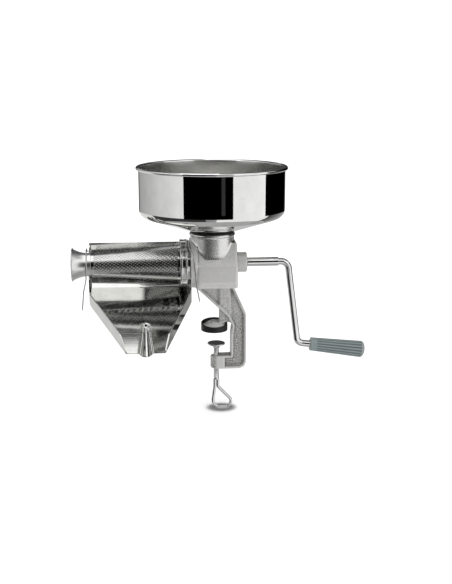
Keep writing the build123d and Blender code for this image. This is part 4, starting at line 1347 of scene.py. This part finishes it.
# ---------------------------------------------------------------- crank and grip
@dataclass
class Crank:
    """Plated rod in its sleeve, and the ribbed grip that turns on it."""

    rod_r: float = 5.0
    throw: float = 126.0
    lean: float = math.radians(7.5)
    flutes: int = 16
    flute_depth: float = 1.1
    grip: tuple[float, float] = (19.6, 97.1)
    grip_r: tuple[float, float] = (10.0, 12.4)
    grip_sides: int = 320

    def rod(self) -> None:
        """Bent rod, sleeve with an eased mouth, and the washer in the grip."""
        sine, cosine = math.sin(self.lean), math.cos(self.lean)
        corner = np.array([105.5 + self.throw * sine, 0.0, SHAFT_Z - self.throw * cosine])
        way = np.array([cosine, 0.0, -sine])
        route = [(75.3, 0.0, SHAFT_Z), (105.5, 0.0, SHAFT_Z), corner, corner + way * 91.9]
        line = even(bent(route, [12.0, 10.0], 5.0), 9.0)
        make_piece("crank_bar", "crank", [drawn(line, self.rod_r, 56)],
                   [CHROME], ["crank_rod"])
        bore = self.rod_r + 0.03
        Turning("crank_tube", "crank", "plated_steel", CHROME, "crank_sleeve", Axis.SHAFT,
                ring(44.9, 91.3, bore, 6.42), [0.1, 0.7, 0.5, 0.3], 72,
                step=15.0, spacing=9.0).build()
        Turning("grip_washer_ring", "crank", "bare_steel", BARE, "grip_washer", Axis.GRIP,
                ring(89.4, 90.6, bore, 8.0), 0.25, 48, step=22.0).build()

    def wave(self, along: Points, radius: Points, angle: Points) -> Points:
        """Share of a flute's depth on the grip's outer skin.

        It is a cosine with as many turns as flutes, raised so that ribs are broad and
        flutes narrow, times a smooth step that runs the flutes out at both ends.
        """
        start, end = self.grip[0] + 8.0, self.grip[1] + 4.0
        inside = np.clip((along - start) / 2.2, 0, 1) * np.clip((end - along) / 2.0, 0, 1)
        inside = inside * inside * (3 - 2 * inside)
        sunk = inside * (0.5 + 0.5 * np.cos(self.flutes * angle)) ** 2.2
        return sunk * (radius > 9.6)

    def fluted(self, along: Points, radius: Points, angle: Points) -> tuple[Points, Points]:
        """Lower the grip's skin by the flutes' depth times their wave."""
        return along, radius - self.flute_depth * self.wave(along, radius, angle)

    def handle(self) -> None:
        """Ribbed grip with painted shade in its flutes and a plain collar, and its domed cap.
        """
        start, end = self.grip
        inner, outer = self.grip_r
        outline = [(start, 5.07), (start, inner), (start + 8.0, inner + 0.2),
                   (end, outer), (end, 8.8), (89.1, 8.8), (89.1, 5.07)]
        line = even(bent(outline, [0.3, 1.0, 0.5, 0.3, 0.3, 0.1, 0.1], 15.0, closed=True), 1.4)
        body = turned(line, Axis.GRIP, self.grip_sides, shape=self.fluted)
        angle = np.arange(self.grip_sides) * TAU / self.grip_sides
        # Painted shade in the flutes, deepest at their bottoms
        dark = 0.9 * self.wave(line[:, :1], line[:, 1:], angle[None, :])
        make_piece("ribbed_grip", "grip", [body], [GRIP], ["grip"],
                   {"groove": dark.reshape(-1)})
        t = np.linspace(0.0, math.pi / 2, 22)
        dome = np.stack([end + 0.12 + 6.38 * np.sin(t), outer * np.cos(t)], 1)
        profile = np.concatenate([[(end - 2.5, 0.0), (end - 2.5, 8.76), (end + 0.12, 8.76),
                                   (end + 0.12, outer - 0.3)], dome[1:-1],
                                  [(end + 6.5, 0.0)]])
        make_piece("grip_dome", "grip",
                   [turned(profile, Axis.GRIP, 128, closed=False)], [DOME], ["grip_cap"])

    def build(self) -> None:
        """Make the crank's pieces."""
        self.rod()
        self.handle()


# ---------------------------------------------------------------- table clamp
@dataclass
class Clamp:
    """Swivelling disc and the threaded screw with its wire loop."""

    pitch: float = 1.25
    screw_r: float = 4.0
    thread_depth: float = 0.55
    shank_end: float = -77.0
    wire_r: float = 2.25
    eye: tuple[float, float] = (6.4, 20.9)
    loop_r: float = 11.15
    loop_low: float = -44.05
    fork: float = -11.7

    def disc(self) -> None:
        """Turned disc with a rounded rim over its waisted hub."""
        outline = [(-19.8, 0.0), (-19.8, 13.2), (-22.0, 13.2), (-22.0, 7.3), (-27.2, 4.9),
                   (-27.2, 2.96), (-22.3, 2.96), (-22.3, 0.0)]
        Turning("clamp_plate", "clamp_disc", "plated_steel", CHROME, "clamp_disc",
                Axis.SCREW, outline, [0.9, 0.9, 1.2, 0.5, 0.2, 0.2], 96, closed=False,
                step=14.0, spacing=4.0).build()

    def threaded(self, along: Points, radius: Points, angle: Points
                 ) -> tuple[Points, Points]:
        """Cut a thread: the skin drops by a triangle wave of along / pitch + angle / 2 pi."""
        phase = (along / self.pitch + angle / TAU) % 1.0
        wave = np.abs(2 * phase - 1) * self.thread_depth
        ease = np.clip((along + 75.5) / 3.0, 0, 1) * np.clip((-28.0 - along) / 1.0, 0, 1)
        return along, radius - np.where(radius > 3.5, wave * ease, 0.0)

    def screw(self) -> None:
        """Threaded shank with its tip, and the loop of wire under it."""
        end, radius = self.shank_end, self.screw_r
        outline = [(end, 0.0), (end, radius), (-27.26, radius), (-27.26, 2.9),
                   (-22.66, 2.9), (-22.66, 0.0)]
        line = even(bent(outline, [0.9, 0.5, 0.2, 0.5], 20.0), 0.21)
        shank = turned(line, Axis.SCREW, 40, closed=False, shape=self.threaded)
        strand = self.wire_r + 0.05
        aside, below = self.eye
        slope = {side: math.tan(math.atan2(aside - side * strand, below) + side * math.asin(
            (self.loop_r + 0.3) / math.hypot(aside - side * strand, below)))
            for side in (-1, 1)}
        fall = self.fork - self.loop_low
        corners = [(-strand, 0.5), (-strand, self.fork),
                   (-strand + fall * slope[-1], self.loop_low),
                   (strand + fall * slope[1], self.loop_low), (strand, self.fork),
                   (strand, 0.5)]
        path = bent(corners, [8.0, self.loop_r, self.loop_r, 6.0], 6.0)
        wire = np.stack([path[:, 0], np.zeros(len(path)), path[:, 1] + end], 1)
        make_piece("clamp_screw_bar", "clamp_screw",
                   [shank, drawn(even(wire, 2.5), self.wire_r, 32)], [CHROME],
                   ["clamp_screw"])

    def build(self) -> None:
        """Make the disc and the screw."""
        self.disc()
        self.screw()


# ---------------------------------------------------------------- studio
def paper(name: str, colour: Sequence[float], glow: float) -> bpy.types.Material:
    """Flat material with some light of its own."""
    tree = Tree(name)
    shader = tree.node("ShaderNodeBsdfPrincipled", {}, {
        "Base Color": rgba(colour), "Roughness": 0.9, "Specular IOR Level": 0.1,
        "Emission Color": rgba((1.0, 1.0, 1.0)), "Emission Strength": glow})
    tree.node("ShaderNodeOutputMaterial", {}, {"Surface": tree.out(shader)})
    return tree.material


def card_paper() -> bpy.types.Material:
    """Paper of the cards, built once; it glows by the number kept on their points."""
    if "card_paper" not in _built:
        tree = Tree("card_paper")
        shader = tree.node("ShaderNodeBsdfPrincipled", {}, {
            "Base Color": rgba((0.0, 0.0, 0.0)), "Specular IOR Level": 0.0,
            "Emission Color": tree.attribute("glow"), "Emission Strength": 1.0})
        tree.node("ShaderNodeOutputMaterial", {}, {"Surface": tree.out(shader)})
        _built["card_paper"] = tree.material
    return _built["card_paper"]


def staged(name: str, points: Points, faces: Points,
           finish: bpy.types.Material) -> bpy.types.Object:
    """Put up a surface of the studio, which is no piece of the strainer.

    Args:
        name: its name.
        points: its points in millimetres.
        faces: point numbers, four a face.
        finish: its material.

    Returns:
        The new object.
    """
    mesh = bpy.data.meshes.new(name)
    mesh.from_pydata(points * MM, [], faces)
    mesh.materials.append(finish)
    made = bpy.data.objects.new(name, mesh)
    bpy.context.scene.collection.objects.link(made)
    return made


@dataclass(frozen=True)
class Card:
    """Curved card seen only in reflections.

    An upright card is a piece of a cylinder about the neck, with its angles in degrees
    from the camera's side to the right and its foot and top as low and high. A lying
    one is about the X axis, with its angles from the camera's side upwards and its left
    and right ends as low and high. Its glow goes evenly from the first value, where it
    begins, to the second; 0 is black.
    """

    name: str
    start: float
    end: float
    low: float
    high: float
    glow: tuple[float, float]
    radius: float = 1650.0
    lying: bool = False

    def build(self) -> None:
        """Put it up, out of sight of the camera and of diffuse light."""
        turn = np.radians(np.linspace(self.start, self.end,
                                      max(2, int(abs(self.end - self.start) / 3))))
        out, side = self.radius * np.cos(turn), self.radius * np.sin(turn)
        if self.lying:
            arc = np.stack([0.0 * turn, -out, side], 1)
            way = np.array([1.0, 0.0, 0.0])
        else:
            arc = np.stack([NECK_X + side, -out, 0.0 * turn], 1)
            way = np.array([0.0, 0.0, 1.0])
        made = staged(self.name, np.concatenate([arc + self.low * way,
                                                 arc + self.high * way]),
                      grid_faces(2, len(arc)), card_paper())
        glow = np.tile(np.linspace(*self.glow, len(arc)), 2).astype(np.float32)
        made.data.attributes.new("glow", "FLOAT", "POINT").data.foreach_set("value", glow)
        made.visible_camera = made.visible_diffuse = made.visible_shadow = False
        made.visible_transmission = made.visible_volume_scatter = False


BLACK, DIM = (0.0, 0.0), (0.05, 0.05)
ROOF_R = 2000.0
CARDS = (
    # What the hopper's wall reflects
    Card("black_front", -47.0, 27.5, -260.0, 1250.0, BLACK, 1640.0),
    Card("dim_strip", 10.0, 15.5, -60.0, 700.0, (0.035, 0.035), 1600.0),
    Card("white_right", 27.5, 84.0, -130.0, 900.0, (0.92, 1.0)),
    Card("black_right", 84.0, 150.0, -130.0, 900.0, BLACK),
    Card("pale_left", -158.0, -47.0, -130.0, 900.0, (0.34, 0.86)),
    Card("dark_back", -210.0, -158.0, -130.0, 900.0, DIM),
    # What the rods, the casting and the tray's walls reflect
    Card("low_dark", -108.0, -14.0, -1400.0, -130.0, (0.04, 0.04)),
    Card("low_mid", -14.0, 3.0, -1400.0, -130.0, (0.24, 0.34)),
    Card("low_pale", 3.0, 92.0, -1400.0, -130.0, (0.95, 0.95)),
    Card("low_back", 92.0, 172.0, -1400.0, -130.0, (0.04, 0.55)),
    Card("low_grey", -188.0, -108.0, -1400.0, -130.0, (0.80, 0.80)),
    # What the tray's bend and floor, the sleeve and the hopper's inside reflect
    Card("roof_left", 30.0, 66.0, -1500.0, -560.0, (1.10, 1.10), ROOF_R, True),
    Card("roof_gap", 30.0, 66.0, -560.0, -60.0, (0.30, 0.30), ROOF_R, True),
    Card("roof_light", 30.0, 66.0, -60.0, 1500.0, (1.20, 1.20), ROOF_R, True),
    Card("bowl_light", 50.0, 112.0, -620.0, 120.0, (1.50, 1.50), 1500.0, True),
    Card("roof_grey", 66.0, 106.0, -2600.0, 2600.0, (0.40, 0.40), ROOF_R, True),
    Card("roof_dark", 106.0, 150.0, -2600.0, 2600.0, (0.06, 0.06), ROOF_R, True),
    Card("ground", -140.0, -40.0, -2600.0, 2600.0, (0.42, 0.42), ROOF_R, True))


@dataclass
class Studio:
    """Camera at the photograph's place, soft light, pale floor and reflecting cards."""

    eye: tuple[float, float, float] = (-97.9, -1286.4, 368.5)
    azimuth: float = math.radians(5.0)
    down: float = math.radians(13.55)
    lens: float = 55.66
    floor_z: float = -123.6
    floor_half: float = 9000.0
    sky: float = 1.25
    flag_middle: tuple[float, float] = (8.0, 4.0)
    flag_half: tuple[float, float] = (22.0, 19.0)
    flag_high: float = 4.0

    def camera(self) -> None:
        """Camera on the fitted place and angle."""
        data = bpy.data.cameras.new("camera")
        data.lens = self.lens
        data.sensor_width = 36.0
        data.clip_start, data.clip_end = 0.05, 30.0
        eye = bpy.data.objects.new("camera", data)
        bpy.context.scene.collection.objects.link(eye)
        way = Vector((math.sin(self.azimuth) * math.cos(self.down),
                      math.cos(self.azimuth) * math.cos(self.down), -math.sin(self.down)))
        eye.location = Vector(self.eye) * MM
        eye.rotation_euler = way.to_track_quat("-Z", "Y").to_euler()
        bpy.context.scene.camera = eye

    def floor(self) -> None:
        """Wide pale floor under the loop, kept out of reflections."""
        corners = np.array([(-1, -1), (1, -1), (1, 1), (-1, 1)]) * self.floor_half
        points = np.column_stack([corners, np.full(4, self.floor_z)])
        made = staged("floor", points, np.array([(0, 1, 2, 3)]),
                      paper("floor_paper", (0.93, 0.93, 0.93), 0.08))
        made.visible_glossy = False

    def flag(self) -> None:
        """Small oval flag just over the floor that deepens the loop's contact shadow.

        It only holds light off the floor: rings of points at shares of an oval's half
        axes, joined from the middle outwards.
        """
        turn = np.arange(48) * TAU / 48
        share = np.array([0.02, 0.5, 1.0])[:, None]
        (x, y), (wide, deep) = self.flag_middle, self.flag_half
        points = np.stack([x + wide * share * np.cos(turn), y + deep * share * np.sin(turn),
                           np.full((3, 48), self.floor_z + self.flag_high)], -1)
        made = staged("loop_flag", points.reshape(-1, 3), grid_faces(3, 48, False, True),
                      paper("flag_black", (0.0, 0.0, 0.0), 0.0))
        made.visible_camera = made.visible_glossy = False

    def light(self, name: str, spot: Sequence[float], size: float, power: float) -> None:
        """Square soft light aimed at the neck."""
        data = bpy.data.lights.new(name, "AREA")
        data.shape, data.size, data.energy = "SQUARE", size, power
        made = bpy.data.objects.new(name, data)
        made.location = Vector(spot)
        aim = Vector((0.0, 0.0, 0.09)) - Vector(spot)
        made.rotation_euler = aim.to_track_quat("-Z", "Y").to_euler()
        bpy.context.scene.collection.objects.link(made)

    def build(self) -> None:
        """Set up the studio."""
        self.camera()
        self.floor()
        world = bpy.data.worlds.new("studio")
        world.use_nodes = True
        sky = world.node_tree.nodes["Background"]
        sky.inputs["Color"].default_value = (1.0, 1.0, 1.0, 1.0)
        sky.inputs["Strength"].default_value = self.sky
        bpy.context.scene.world = world
        bpy.context.scene.view_settings.view_transform = "Standard"
        self.light("top_light", (-0.4, -0.7, 1.7), 1.4, 4.0)
        self.flag()
        for card in CARDS:
            card.build()


def main() -> None:
    """Build every sub-assembly in order and report it."""
    logging.basicConfig(level=logging.INFO, format="%(name)s %(message)s")
    Studio().build()
    for part in (Hopper(), Casting(), Screen(), Tray(), *clips(), Auger(), Crank(), Clamp()):
        part.build()
        LOG.info("%s done", type(part).__name__)


if __name__ == "__main__":
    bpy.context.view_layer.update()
    main()
